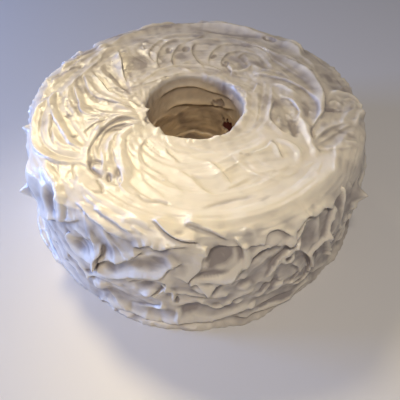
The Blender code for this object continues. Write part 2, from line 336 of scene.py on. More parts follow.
class Spatula:
    """Draws on a coat. Sizes are in millimetres; places come from top(), side() or hole()."""

    def __init__(self, coat, seed):
        self.coat = coat
        self.dice = random.Random(seed)
        self.marbling = 0.3           # how much of the cake's colour shows in streaks along a stroke
        self.shade = 0.6              # how dark the painted shadow line is at the foot of a fold
        self.turn = 0.0               # degrees that the next marks are turned round the cake
        self.mirrored = False         # whether the next marks are drawn left for right

    # Set how much of the cake's colour shows in streaks, and how dark the painted shadow at the feet of
    # folds is
    def show_cake_and_shadow(self, marbling, shade):
        self.marbling = marbling
        self.shade = shade

    def strip(self, knots, margin):
        """Strip of the coat along the knots, where the marks are turned or mirrored to."""
        if self.mirrored:
            knots = [(self.turn - angle, distance) for angle, distance in reversed(knots)]
        else:
            knots = [(self.turn + angle, distance) for angle, distance in knots]
        return Strip(self.coat, knots, margin)

    def stroke(self, knots, width, depth, lip, left=0.15, lean=0.5, streak=0.16, start=1.5, end=1.5,
               ragged=0.0, narrow=1.0):
        """Smooth trough along a path, with a lip on the path's right and a lower one on its left.

        width is the half width at the start, and narrow the share of it that is left at the end.
        depth is the trough's, lip the crest's height and left the left lip's share of it. lean
        pushes the crest outwards, and streak is the height of the fine lines along the trough.
        start and end are the lengths, in widths, over which the blade sets down and lifts, and
        ragged is how torn the crest is.
        """
        coat = self.coat
        dice = self.dice
        width, depth, lip, streak = (size * MM for size in (width, depth, lip, streak))
        fall = 0.0009 + 0.5 * lip
        strip = self.strip(knots, width * 1.1 + fall + 0.001)
        along = strip.along
        across = strip.across
        length = strip.length
        edge_noise = wave_noise(dice, 5, 0.012, 0.06)
        lip_noise = wave_noise(dice, 6, 0.008, 0.05)
        torn_noise = wave_noise(dice, 7, 0.003, 0.010)
        fine_noise = wave_noise(dice, 9, 0.0014, 0.0032)
        broad_noise = wave_noise(dice, 5, 0.0035, 0.009)
        drift_noise = wave_noise(dice, 3, 0.03, 0.09)

        # The blade's outline: how far it is set down, and its half width
        fade = smooth_step(along / (start * width)) * smooth_step((length - along) / (end * width))
        inward = np.minimum(along, length - along) / (1.8 * width)
        half = width * (0.55 + 0.45 * smooth_step(inward)) * (1 + 0.05 * edge_noise(along))
        half = half * (1 + (narrow - 1) * np.clip(along / length, 0, 1))
        ratio = across / half
        part = np.clip((ratio + 1) / 2, 0, 1)
        crest = lip * np.maximum(0.85 + 0.22 * lip_noise(along) + ragged * torn_noise(along), 0) * fade

        # The old level, smoothed along the path: the blade rides at half its height
        rows = np.clip(np.round(strip.path[:, 1] / TOTAL_LENGTH * (ROWS - 1)).astype(int), 0, ROWS - 1)
        columns = np.round(strip.path[:, 0] * AROUND / 360).astype(int) % AROUND
        spread = 10
        under = np.pad(coat.heights[rows, columns], spread, mode="edge")
        under = np.convolve(under, np.ones(2 * spread + 1) / (2 * spread + 1), "valid")
        level = 0.5 * under[strip.nearest]

        # The trough, its lips and the bank beyond the right one
        combed = across + 0.0004 * drift_noise(along)
        lines = 0.5 * fine_noise(combed) + 0.8 * broad_noise(combed)
        trough = (level - depth * np.sin(np.pi * part ** 1.2) + crest * part ** 6
                  + left * crest * (1 - part) ** 8
                  + streak * lines * (1 - np.clip(np.abs(ratio), 0, 1) ** 6))
        mix = np.where(np.abs(ratio) <= 1, fade * smooth_step((1 + ratio) / 0.3), 0)
        old = strip.take(coat.heights)
        new = old * (1 - mix) + trough * mix
        beyond = (across - half) / fall
        bank = level + crest * np.clip(1 - beyond, 0, 1) ** 1.5
        new = np.where((ratio > 1.0) & (beyond < 1) & (fade > 0.02), np.maximum(new, bank), new)
        strip.put(coat.heights, new)

        # The crest's lean, and how thin the trough leaves the coat
        push = np.exp(-((across - half) / (0.0007 + 0.2 * lip)) ** 2) * lean * crest
        kept = strip.take(coat.lean) * (1 - np.where(ratio < 0.9, mix, 0))[:, None]
        strip.put(coat.lean, kept + strip.right * push[:, None])
        bare = strip.take(coat.thin)
        veins = np.clip(0.8 * broad_noise(combed) + 0.8 * edge_noise(1.7 * along), 0, 2)
        strip.put(coat.thin, bare * (1 - 0.8 * mix) + self.marbling * veins * mix)

    def ridge(self, knots, width, height, outer=1.0, lean=0.0, sharp=1.5, ragged=0.0, undercut=0.0,
              ends=None):
        """Raised line along a path, or a crease where height is negative.

        width is its left flank's, and outer the right flank's as a share of that. lean tips the
        crest over to the right as a share of the height, undercut hollows the foot of the right
        flank and lays a painted shadow line along it, ragged tears the crest, and ends is the
        length over which each end dies away.
        """
        coat = self.coat
        width *= MM
        height *= MM
        hollow = 0.0045 if undercut else 0.0
        strip = self.strip(knots, width * max(1.0, outer) + hollow + lean * abs(height) + 0.001)
        along = strip.along
        wobble = wave_noise(self.dice, 6, 0.015, 0.06)
        torn = wave_noise(self.dice, 7, 0.003, 0.010)
        size = height * np.maximum(0.9 + 0.18 * wobble(along) + ragged * torn(along), 0)
        size *= strip.fade_at_ends(width, ends)
        across = strip.across + lean * size
        flank = np.where(across > 0, max(width * outer, 0.0009), width)
        profile = np.clip(1 - np.abs(across) / flank, 0, 1) ** sharp
        rise = size * profile
        if undercut:
            depth = np.clip(1 - np.abs(across / hollow - 0.35) / 0.65, 0, 1) * (across > 0)
            rise = rise - undercut * size * smooth_step(depth)
            # A painted shadow line along the foot of the drop; the crest's grey is halved
            foot = np.exp(-((across - 0.0009) / 0.0008) ** 2) * np.clip(size / 0.003, 0, 1) ** 0.5
            strip.put(coat.thin, strip.take(coat.thin) * (1 - 0.5 * profile) + self.shade * foot)
        strip.add(coat.heights, rise)
        if lean:
            strip.add(coat.lean, strip.right * (lean * size * profile)[:, None])

    def fold(self, knots, width, height, lean=0.5, ragged=0.0, undercut=0.35, ends=None):
        """A layer's free edge: rises gently from the left, then drops steeply over a hollowed foot with a
        painted shadow line.
        """
        self.ridge(knots, width, height, outer=0.12, lean=lean, sharp=1.35, ragged=ragged,
                   undercut=undercut, ends=ends)

    def band(self, knots, width, height, ends=None):
        """A rounded rope of frosting along a path; width is half its own."""
        width *= MM
        strip = self.strip(knots, width + 0.001)
        wobble = wave_noise(self.dice, 6, 0.008, 0.04)
        fine = wave_noise(self.dice, 7, 0.0018, 0.0045)
        inward = strip.fade_at_ends(width, ends)
        share = 1 - np.abs(strip.across) / (width * (1 + 0.12 * wobble(strip.along)))
        rise = height * MM * inward * smooth_step(share) * (1 + 0.1 * wobble(strip.along * 1.3))
        rise = rise + 0.00012 * fine(strip.across) * smooth_step(share * 3) * inward
        strip.add(self.coat.heights, rise)
        strip.put(self.coat.thin, strip.take(self.coat.thin) * (1 - 0.7 * inward * smooth_step(share * 2)))

    def crease(self, knots, width, depth, thin):
        """A narrow furrow along a path, with the cake's colour in it."""
        self.ridge(knots, width, -depth, sharp=1.2)
        self.smear(knots, width * 1.2, thin)

    def smear(self, knots, width, amount):
        """Thin the coat along a path, so that the cake's colour comes through."""
        width *= MM
        strip = self.strip(knots, width)
        edge = wave_noise(self.dice, 5, 0.003, 0.012)
        across = np.abs(strip.across) / (width * (0.8 + 0.2 * edge(strip.along)))
        overrun = np.maximum(-strip.along, strip.along - strip.length) / width
        cover = smooth_step(1 - across) * smooth_step(1 - overrun)
        strip.put(self.coat.thin, np.maximum(strip.take(self.coat.thin), amount * cover))

    def oval(self, place, long_way, short_way, turn, ragged=0.0):
        """Cells round a place, with how near its middle each lies: 1 there and 0 at the oval's edge.

        turn is the long way's angle in degrees from the level direction.
        """
        angle, distance = place
        angle = self.turn - angle if self.mirrored else self.turn + angle
        turn = -turn if self.mirrored else turn
        coat = self.coat
        cells = coat.window(np.array([[angle, distance]]), 1.4 * max(long_way, short_way) * MM)
        middle = surface_point(angle, distance)
        normal = surface_normal(angle, distance)
        level = np.array([-math.sin(math.radians(angle)), math.cos(math.radians(angle)), 0.0])
        upward = np.cross(normal, level)
        tilt = math.radians(turn)
        long_axis = level * math.cos(tilt) + upward * math.sin(tilt)
        short_axis = -level * math.sin(tilt) + upward * math.cos(tilt)
        gap = coat.places[cells] - middle
        long_share = (gap @ long_axis) / (long_way * MM)
        short_share = (gap @ short_axis) / (short_way * MM)
        reach = np.sqrt(long_share ** 2 + short_share ** 2)
        if ragged:
            reach = reach * (1 + ragged * field_noise(coat.places[cells], self.dice, 8, 0.003, 0.012))
        return cells, np.clip(1 - reach, 0, 1)

    def dent(self, place, long_way, short_way, depth, turn=0.0, power=1.0, thin=0.0, ragged=0.1):
        """Oval hollow, or a mound where depth is negative; a low power makes its walls steep."""
        cells, share = self.oval(place, long_way, short_way, turn, ragged)
        self.coat.heights[cells] -= depth * MM * smooth_step(share * 1.2) ** power
        self.coat.thin[cells] = np.maximum(self.coat.thin[cells], thin * smooth_step(share * 1.8))

    def worn(self, place, long_way, short_way, amount, turn=0.0, ragged=0.25):
        """A patch where the coat is thin."""
        cells, share = self.oval(place, long_way, short_way, turn, ragged)
        self.coat.thin[cells] = np.maximum(self.coat.thin[cells], amount * smooth_step(share * 1.6))

    def pull(self, place, radius, shift, power=1.6):
        """Peak drawn out of the frosting: the cells round a place follow shift = (out, level, up)."""
        cells, share = self.oval(place, radius, radius, 0.0)
        turn = math.radians(self.turn - place[0] if self.mirrored else self.turn + place[0])
        out = np.array([math.cos(turn), math.sin(turn), 0.0])
        level = np.array([-math.sin(turn), math.cos(turn), 0.0])
        move = (out * shift[0] + level * shift[1] + np.array([0, 0, shift[2]])) * MM
        self.coat.lean[cells] += (share ** power)[..., None] * move


# ---------------------------------------------------------------- strokes
def scatter(blade, count, low, high, style):
    """Overlapping arcs over a band of the surface."""
    dice = blade.dice
    for _ in range(count):
        angle = dice.uniform(0, 360)
        distance = dice.uniform(low, high)
        radius = max(float(outline_at(distance)[0]), 0.045)
        reach = dice.uniform(*style["reach"]) * MM
        bend = dice.choice([-1, 1]) * dice.uniform(*style["bend"]) * reach
        slope = dice.uniform(*style["slope"])
        way = dice.choice([-1, 1])
        knots = []
        for along in (-1.0, -0.4, 0.3, 1.0):
            across = bend * (1 - along ** 2) + slope * reach * along
            knots.append((angle + way * math.degrees(along * reach / radius), distance + across))
        blade.stroke(knots, dice.uniform(*style["width"]), dice.uniform(*style["depth"]),
                     dice.uniform(*style["lip"]), lean=dice.uniform(0.3, 0.9))


TOP_STYLE = {"reach": (24, 46), "bend": (0.15, 0.5), "slope": (-0.3, 0.3), "width": (8, 13),
             "depth": (0.3, 0.8), "lip": (0.3, 0.8)}
SIDE_STYLE = {"reach": (20, 38), "bend": (0.2, 0.8), "slope": (-0.7, 0.7), "width": (9, 15),
              "depth": (0.8, 1.8), "lip": (0.3, 1.2)}


def back_of_top(blade):
    """Arcs nested round a shallow spiral behind the hole, and the free edge on the rim behind them."""
    blade.stroke(on_top((30, 118), (56, 120), (84, 119), (112, 119), (140, 120)), 9, 1.0, 0.5)
    blade.stroke(on_top((34, 108), (60, 106), (88, 108), (114, 107), (134, 106)), 9, 1.0, 0.6)
    blade.stroke(on_top((64, 45), (90, 46), (112, 48), (136, 50)), 6, 0.5, 0.6)
    blade.stroke(on_top((124, 60), (126, 76), (128, 88), (124, 98)), 10, 1.0, 0.4)
    blade.fold(on_top((124, 62), (123, 78), (118, 87), (113, 93), (105, 98), (94, 99), (84, 98)), 6, 0.6)
    blade.fold(on_top((125, 54), (123, 62), (120, 70), (115, 80), (110, 88), (104, 92), (96, 92)), 6, 0.8)
    blade.fold(on_top((107, 47), (112, 54), (110, 65), (106, 75), (101, 84), (95, 88)), 6, 0.9)
    blade.fold(on_top((78, 46), (86, 52), (91, 60), (94, 71), (93, 82), (88, 88)), 6, 0.7)
    blade.fold(on_top((80, 54), (81, 64), (80, 74), (76, 86), (69, 92), (61, 97), (54, 98), (46, 96),
               (38, 94)), 6, 0.8)
    blade.fold(on_top((66, 52), (70, 60), (71, 68), (69, 78), (63, 85), (55, 88)), 5, 0.8)
    blade.fold(on_top((60, 70), (62, 78), (59, 86), (52, 88), (46, 84)), 4, 0.5)
    blade.band(on_top((63, 60), (58, 56), (52, 58), (49, 66), (51, 74)), 2.5, 0.9)
    blade.fold(on_top((96, 92), (90, 91), (83, 92), (75, 95), (68, 98), (60, 100), (52, 102), (43, 101)),
               5, 0.5, undercut=0.2)
    blade.fold(on_top((122, 105), (116, 104), (109, 101), (102, 100), (95, 102)), 5, 0.4, undercut=0.2)
    blade.ridge(on_top((111, 50), (105, 48), (99, 45), (93, 43)), 2.5, 1.4, lean=0.3)
    blade.dent(top(109, 78), 6, 3.5, 0.8, turn=80, thin=0.7)
    blade.dent(top(98, 77), 5, 4, 1.4, turn=80, thin=1.1)
    blade.worn(top(102, 66), 8, 6, 0.6)
    blade.dent(top(78, 68), 5, 3, 1.0, turn=70, thin=0.9)
    blade.dent(top(66, 61), 5, 3.5, 1.2, turn=90, thin=1.1)
    blade.worn(top(60, 72), 12, 7, 0.5)
    blade.worn(top(132, 72), 14, 8, 0.7, turn=60)
    blade.crease(on_top((88, 107), (76, 105), (67, 108), (60, 112)), 2.5, 1.0, 0.5)
    blade.dent(top(56, 113), 8, 3.5, 2.4, turn=8, thin=1.4)
    blade.worn(top(104, 116), 12, 3, 0.8)
    blade.worn(top(118, 117), 12, 3, 0.9)
    blade.fold(on_top((34, 121), (42, 123), (50, 125), (58, 126)), 9, 5.0, lean=0.8)
    blade.fold(on_top((54, 122), (64, 120), (74, 120), (84, 122), (92, 121)), 9, 3.4, lean=0.5)


def back_left_of_top(blade):
    """Strokes drawn in a fan over the hole's left edge, and a white peak behind them."""
    blade.stroke(on_top((168, 124), (158, 120), (146, 117), (132, 118)), 8, 0.9, 0.8)
    blade.stroke(on_top((176, 114), (164, 110), (152, 108), (140, 110)), 8, 0.9, 0.8)
    blade.stroke(on_top((156, 98), (162, 84), (170, 71), (176, 58), (186, 46)), 9, 0.7, 0.4, narrow=0.4)
    blade.stroke(on_top((170, 97), (180, 86), (186, 73), (190, 58), (196, 44)), 8, 0.6, 0.4, narrow=0.4)
    blade.stroke(on_top((148, 97), (150, 82), (156, 68), (166, 52)), 9, 1.6, 0.3, narrow=0.5)
    blade.fold(on_top((178, 53), (174, 60), (170, 69), (165, 76), (161, 82), (158, 90), (155, 98)), 7, 1.6)
    blade.fold(on_top((156, 62), (148, 72), (141, 82), (136, 94), (134, 103)), 8, 2.2, lean=0.6)
    blade.ridge(on_top((154, 106), (148, 106), (141, 106), (134, 106)), 5, 1.8, lean=0.3)
    blade.pull(top(139, 90), 6, (1.0, 0.0, 2.5))
    blade.fold(on_top((158, 102), (164, 94), (171, 86), (176, 77), (179, 67), (181, 58), (185, 49)),
               6, 1.0)
    blade.fold(on_top((193, 43), (186, 51), (183, 60), (180, 68), (177, 76)), 4, 0.7, undercut=0.2)
    blade.fold(on_top((190, 42), (181, 47), (176, 55), (172, 64), (168, 72)), 4, 0.7, undercut=0.2)
    blade.fold(on_top((194, 86), (195, 75), (195, 64), (195, 52), (197, 42)), 4, 0.7, undercut=0.2)
    blade.fold(on_top((206, 92), (201, 83), (198, 74), (197, 64), (199, 52), (203, 43)),
               5, 0.8, undercut=0.2)
    blade.fold(on_top((180, 91), (186, 89), (191, 82), (193, 72), (194, 62)), 4, 0.9, undercut=0.2)
    blade.fold(on_top((181, 81), (187, 77), (191, 71), (193, 64)), 3, 0.6, undercut=0.2)
    blade.fold(on_top((168, 101), (173, 97), (178, 93), (182, 90), (187, 88), (192, 86)),
               5, 1.8, ragged=0.25)
    blade.ridge(on_top((170, 103), (176, 101), (184, 96), (190, 91)), 2.5, 1.0, ragged=0.3)
    blade.smear(on_top((176, 75), (180, 66), (183, 58)), 1.6, 0.8)
    blade.smear(on_top((166, 72), (164, 62), (168, 54)), 2.2, 0.7)
    blade.smear(on_top((146, 78), (144, 71), (148, 64)), 2.5, 1.0)
    blade.worn(top(154, 76), 9, 5, 0.6, turn=60)
    blade.smear(on_top((162, 103), (168, 98), (174, 88)), 3.5, 0.6)
    blade.smear(on_top((166, 118), (158, 114), (150, 112)), 3.0, 0.7)
    blade.smear(on_top((152, 119), (144, 117), (136, 117)), 2.4, 1.0)
    blade.crease(on_top((170, 122), (163, 119), (157, 112), (154, 104)), 2.0, 0.9, 0.4)
    blade.dent(top(138, 114), 7, 4, -2.6)
    blade.ridge(on_top((162, 121), (155, 121), (150, 118), (146, 114)), 4, 1.4, ragged=0.15)


def left_of_top(blade):
    """Two broad ribbons that curl round the left, and the two arches beside the hole."""
    blade.stroke(on_top((166, 124), (182, 126), (200, 126), (218, 124), (236, 121)), 7, 0.5, 0.5)
    blade.stroke(on_top((188, 106), (196, 102), (204, 99), (212, 95)), 8, 1.0, 0.2)
    blade.stroke(on_top((174, 109), (182, 106), (188, 102), (194, 98), (200, 95), (206, 93), (213, 90)),
                 6, 1.3, 1.8, left=0.4, streak=0.2)
    blade.stroke(on_top((180, 113), (186, 116), (193, 117), (200, 117), (206, 115), (211, 110), (215, 103),
                 (219, 95)), 6.5, 1.4, 1.8, left=0.8, streak=0.25)
    blade.crease(on_top((182, 111), (190, 109), (197, 110), (204, 111), (209, 107)), 2.2, 0.9, 0.6)
    blade.smear(on_top((178, 101), (186, 98), (194, 93)), 2.0, 0.4)
    blade.dent(top(190, 97), 4, 2, 0.7, turn=70, thin=0.9)
    blade.dent(top(204, 95), 3, 2, 0.6, turn=70, thin=0.7)
    blade.stroke(on_top((224, 92), (215, 83), (207, 72), (204, 60), (207, 48)), 8, 1.5, 0.6)
    blade.fold(on_top((223, 97), (217, 92), (213, 87), (208, 79), (204, 73), (200, 66), (198, 59),
               (200, 52), (208, 44)), 5, 1.5)
    blade.fold(on_top((218, 85), (212, 79), (207, 73), (204, 66), (204, 58), (208, 50)), 3, 0.7)
    blade.pull(top(204, 76), 4, (0.5, 0.0, 2.0))
    blade.worn(top(206, 64), 13, 4, 0.8, turn=95)
    blade.dent(top(208, 64), 4, 2, 0.8, turn=60, thin=1.4)
    blade.smear(on_top((207, 59), (207, 55), (209, 51)), 1.6, 1.1)
    blade.ridge(on_top((213, 85), (218, 87), (223, 90)), 2.0, 1.4)
    blade.ridge(on_top((215, 80), (220, 84), (225, 87), (228, 91), (231, 95)), 2.0, 1.6, lean=0.3)
    blade.ridge(on_top((214, 73), (221, 79), (226, 84), (229, 89)), 2.2, 1.2)
    blade.dent(top(224, 92), 7, 3.5, 1.2, turn=30, thin=0.8, ragged=0.3)
    blade.crease(on_top((222, 96), (227, 98), (232, 98)), 2.2, 2.0, 1.4)
    blade.dent(top(234, 95), 7, 2.2, 1.2, turn=-40, thin=1.1, ragged=0.3)
    blade.dent(top(236, 90), 8, 3.5, 1.0, turn=120, thin=0.7)
    blade.fold(on_top((218, 74), (226, 79), (232, 84), (237, 88), (240, 92), (241, 97), (237, 100)),
               5, 1.3)
    blade.band(on_top((216, 46), (213, 53), (214, 60), (218, 66), (225, 72), (232, 78), (238, 84),
               (242, 90)), 4.5, 1.5)
    blade.smear(on_top((222, 55), (227, 50), (233, 48)), 1.6, 0.5)
    blade.fold(on_top((246, 76), (240, 73), (235, 67), (231, 60), (232, 52)), 4, 0.6, undercut=0.2)
    blade.fold(on_top((258, 77), (250, 76), (242, 72), (236, 66), (231, 58), (229, 49)),
               5, 0.6, undercut=0.2)
    blade.crease(on_top((231, 101), (235, 104), (238, 108), (235, 111)), 1.6, 1.2, 0.8)
    blade.crease(on_top((219, 105), (223, 109), (227, 112)), 1.6, 0.9, 0.6)
    blade.crease(on_top((228, 111), (233, 114), (238, 116)), 1.4, 0.7, 0.4)


def right_of_top(blade):
    """The wide arc round the right, the hollow block inside it and the fan and swirl on the rim."""
    blade.stroke(on_top((44, 122), (28, 121), (14, 119), (2, 120)), 9, 1.0, 0.4)
    blade.stroke(on_top((-20, 86), (-8, 84), (6, 87), (20, 92), (34, 93), (50, 90)), 10, 1.2, 0.8)
    blade.fold(on_top((48, 90), (40, 91), (31, 92), (24, 95), (16, 97)), 5, 0.7, undercut=0.2)
    blade.fold(on_top((50, 70), (40, 74), (32, 82), (24, 87)), 5, 0.7, undercut=0.2)
    blade.fold(on_top((-19, 88), (-14, 90), (-9, 93), (-4, 97), (1, 99), (7, 101), (12, 102), (19, 103),
               (26, 104), (34, 102), (44, 99)), 7, 2.0, lean=0.7)
    blade.fold(on_top((42, 60), (36, 67), (30, 75), (24, 82), (16, 89), (8, 93), (0, 94), (-8, 91),
               (-13, 88)), 6, 1.6, lean=0.5)
    blade.ridge(on_top((40, 62), (37, 68), (33, 73)), 4, 1.2)
    blade.band(on_top((25, 69), (20, 75), (15, 79), (11, 83)), 2.5, 1.4)
    blade.stroke(on_top((30, 64), (14, 56), (-4, 51), (-26, 52)), 8, 0.6, 0.6, left=1.2, streak=0.3)
    blade.stroke(on_top((24, 48), (4, 45), (-16, 45), (-36, 46)), 5, 0.5, 0.4, streak=0.25)
    blade.dent(top(-5, 69), 22, 9, 2.0, turn=10, power=0.8, thin=0.2)
    blade.fold(on_top((-20, 77), (-24, 72), (-18, 62), (-11, 58), (-3, 59), (4, 61), (9, 64)), 5, 1.4)
    blade.fold(on_top((10, 66), (9, 73), (5, 77), (-2, 80), (-8, 79), (-12, 76)), 5, 1.5)
    blade.dent(top(-16, 77), 12, 5, 2.0, turn=20, power=0.8, thin=0.9, ragged=0.15)
    blade.worn(top(-19, 71), 7, 5, 0.6)
    blade.ridge(on_top((-8, 66), (-14, 66), (-18, 68)), 2.4, 1.4)
    blade.ridge(on_top((-4, 72), (-11, 74), (-16, 79)), 2.0, 1.3)
    blade.fold(on_top((5, 76), (0, 79), (-4, 82)), 3, 1.0)
    blade.fold(on_top((4, 83), (-1, 86), (-5, 90)), 3, 0.7, undercut=0.2)
    blade.worn(top(0, 85), 10, 3, 0.6)
    blade.band(on_top((-5, 79), (-13, 84), (-20, 88), (-25, 93), (-29, 97), (-33, 98)), 4, 2.2)
    blade.crease(on_top((-14, 88), (-22, 93), (-28, 99)), 2.0, 1.6, 0.8)
    blade.stroke(on_top((-30, 95), (-20, 100), (-12, 107), (-10, 116)), 8, 1.2, 0.5)
    blade.fold(on_top((-25, 92), (-18, 96), (-12, 102), (-9, 110), (-7, 117)), 5, 1.2)
    blade.fold(on_top((-25, 95), (-20, 100), (-15, 105), (-11, 111), (-8, 118)), 4, 1.3)
    blade.fold(on_top((-27, 96), (-26, 102), (-23, 111), (-19, 120)), 4, 1.0)
    blade.band(on_top((-19, 111), (-18, 116), (-17, 122)), 2.2, 1.3)
    blade.band(on_top((8, 104), (10, 110), (9, 118), (7, 124), (2, 125), (-4, 121), (-9, 117)), 3.5, 2.2)
    blade.band(on_top((5, 113), (6, 120), (3, 123)), 2.0, 1.0)
    blade.band(on_top((2, 101), (4, 107), (1, 111)), 2.6, 1.8)
    blade.dent(top(-1, 104), 7, 2.6, 3.0, turn=88, power=0.7, thin=1.5)
    blade.ridge(on_top((12, 113), (13, 121), (9, 128), (2, 130)), 3.0, 1.8)
    blade.worn(top(-14, 112), 12, 3, 0.6, turn=70)
    blade.worn(top(46, 76), 12, 4, 0.5)
    blade.worn(top(20, 113), 10, 5, 0.6)


def front_of_top(blade):
    """Long low strokes that spiral out from the hole round the front, with a few creases in them."""
    blade.stroke(on_top((216, 48), (230, 56), (250, 62), (274, 64), (300, 60)), 12, 0.5, 0.4)
    blade.stroke(on_top((228, 66), (243, 76), (264, 83), (286, 87), (308, 84)), 12, 0.6, 0.5)
    blade.stroke(on_top((236, 82), (256, 94), (276, 99), (300, 100), (328, 96)), 12, 0.5, 0.5)
    blade.stroke(on_top((228, 105), (246, 109), (268, 112), (292, 113), (322, 112)),
                 10, 0.5, 0.5, streak=0.2)
    blade.stroke(on_top((236, 119), (256, 122), (280, 123), (306, 122), (330, 121)), 8, 0.4, 0.4)
    blade.stroke(on_top((284, 48), (298, 50), (314, 54), (330, 58)), 8, 0.5, 0.5)
    blade.stroke(on_top((292, 70), (304, 74), (314, 80), (322, 90)), 9, 0.5, 0.5)
    blade.fold(on_top((288, 85), (287, 79), (285, 72), (282, 65), (278, 60)), 6, 1.3, undercut=0.5)
    blade.smear(on_top((283, 66), (285, 72), (288, 80)), 1.5, 0.6)
    blade.fold(on_top((289, 82), (288, 74), (282, 64), (272, 59), (262, 53)), 5, 0.4, undercut=0.2)
    blade.fold(on_top((262, 64), (257, 60), (252, 57), (247, 52)), 5, 0.7)
    blade.smear(on_top((252, 57), (257, 60), (262, 63)), 1.5, 0.5)
    blade.fold(on_top((282, 92), (278, 90), (273, 83), (268, 75), (260, 69)), 6, 0.8)
    blade.fold(on_top((276, 87), (273, 80), (268, 72)), 4, 0.6, undercut=0.2)
    blade.fold(on_top((268, 92), (262, 84), (254, 78), (247, 72)), 5, 0.4, undercut=0.2)
    blade.fold(on_top((264, 100), (256, 92), (248, 86), (243, 78)), 5, 0.4, undercut=0.2)
    blade.fold(on_top((282, 89), (287, 87), (292, 85), (298, 83)), 4, 0.6)
    blade.fold(on_top((236, 38), (245, 45), (254, 50), (266, 52), (282, 53)), 4, 0.5, undercut=0.2)
    blade.fold(on_top((251, 43), (272, 48), (290, 57), (304, 66)), 5, 0.4, undercut=0.2)
    blade.fold(on_top((296, 58), (298, 74), (302, 85), (309, 97)), 5, 0.4, undercut=0.2)
    blade.fold(on_top((303, 67), (302, 77), (306, 88), (313, 96), (322, 95)), 5, 0.4, undercut=0.2)
    blade.fold(on_top((308, 70), (309, 80), (314, 88), (320, 88)), 4, 0.3, undercut=0.2)
    blade.crease(on_top((249, 98), (254, 101), (259, 99), (263, 101)), 1.8, 1.0, 0.6)
    blade.crease(on_top((275, 101), (281, 98), (286, 97), (293, 98)), 2.0, 0.9, 0.5)
    blade.smear(on_top((281, 99), (284, 98)), 2.0, 0.9)
    blade.smear(on_top((296, 103), (298, 102)), 1.8, 0.8)
    blade.crease(on_top((262, 108), (274, 109), (288, 109)), 1.4, 0.4, 0.1)
    blade.fold(on_top((300, 63), (303, 62), (306, 66)), 3, 0.8)
    blade.fold(on_top((326, 68), (318, 69), (311, 67), (306, 66)), 3, 1.0)
    blade.smear(on_top((301, 62), (306, 66), (311, 66)), 1.5, 0.7)
    blade.fold(on_top((318, 83), (322, 76), (325, 69)), 4, 1.5, undercut=0.6)
    blade.smear(on_top((325, 69), (322, 76), (319, 82)), 1.2, 0.8)
    blade.band(on_top((328, 70), (329, 78), (327, 87), (321, 93)), 4, 1.2)


def rim_of_hole(blade):
    """Tatters of frosting that stand out over the hole's edge."""
    dice = blade.dice
    for _ in range(34):
        place = top(dice.uniform(0, 360), dice.uniform(39, 42))
        blade.pull(place, dice.uniform(2.5, 6), (dice.uniform(-1.6, 1.2), 0.0, dice.uniform(-0.8, 0.9)))
    blade.pull(top(192, 41), 5.5, (-5.5, 0.5, 1.5))
    blade.pull(top(200, 42), 4.0, (-3.0, 1.0, 0.5))
    blade.dent(top(209, 40), 5, 3, 2.0, thin=0.6)
    blade.pull(top(229, 41), 5.0, (-3.0, -1.5, 0.3))
    blade.dent(top(238, 39), 6, 3, 1.5)
    blade.ridge(on_top((258, 42), (272, 41), (290, 41), (306, 42)), 3.0, 0.8, ragged=0.4)
    blade.pull(top(338, 41), 4.0, (-1.5, 1.0, 1.0))
    blade.pull(top(350, 42), 4.0, (-1.0, 1.0, 1.2))


def left_of_side(blade):
    """A flap and a wide hollow below the shoulder, and a smooth oval scoop beside them."""
    blade.stroke(on_side((198, 90), (204, 78), (208, 60), (212, 40)), 12, 2.1, 0.8)
    blade.stroke(on_side((204, 44), (212, 32), (222, 20), (234, 10)), 13, 2.1, 0.8)
    blade.stroke(on_side((240, 94), (244, 82), (245, 68), (243, 54)), 9, 1.9, 0.5)
    blade.stroke([top(232, 120), side(236, 88), side(236, 78), side(231, 70), side(224, 66)], 10, 1.0, 0.3)
    blade.dent(side(208, 74), 26, 17, -5.0, turn=60, ragged=0.0)
    blade.dent(side(222, 81), 17, 10, 5.0, turn=84, thin=0.45, ragged=0.0)
    blade.band([top(212, 123), top(218, 123), top(223, 124), side(227, 92), side(229, 86), side(228.5, 79),
               side(226, 72)], 6.0, 2.6, ends=10)
    blade.fold(on_side((199, 60), (207, 56), (215, 56), (220, 60), (224, 67)), 12, 4.4, lean=0.6, ends=6)
    blade.fold(on_side((226, 70), (230, 77), (234, 84), (237, 90)), 6, 1.4, undercut=0.2)
    blade.dent(side(235.5, 62), 15, 10, 3.6, turn=60, thin=0.1, ragged=0.0)
    blade.fold(on_side((230.5, 68), (229, 58), (230, 50), (233, 47), (237, 49), (240, 55)),
               7, 3.2, lean=0.4, ends=5)
    blade.fold(on_side((232, 72), (236, 74.5), (240, 73)), 6, 1.0, undercut=0.2)
    blade.fold(on_side((207, 52), (212, 38), (218, 27), (225, 19), (233, 13)), 9, 2.6)
    blade.fold(on_side((231, 35), (234, 30), (236, 26), (238, 21)), 6, 2.1)
    blade.dent(side(230.5, 66), 2.4, 1.4, 1.2, turn=60, thin=1.0, ragged=0.3)
    blade.dent(side(237, 34), 4, 1.6, 1.6, turn=20, thin=1.4, ragged=0.3)
    blade.dent(side(219, 28), 3, 1.6, 1.4, turn=20, thin=1.3, ragged=0.3)
    blade.dent(side(225.5, 22), 3, 1.8, 1.4, turn=20, thin=1.4, ragged=0.3)
    blade.dent(side(220, 41), 3, 2, 1.4, thin=1.3, ragged=0.3)
    blade.worn(side(222, 52), 12, 4, 0.5, turn=70)
    blade.worn(side(226, 26), 14, 5, 0.5, turn=30)
    blade.worn(side(243, 18), 6, 4, 0.6)
    blade.worn(side(240, 84), 10, 4, 0.6, turn=60)


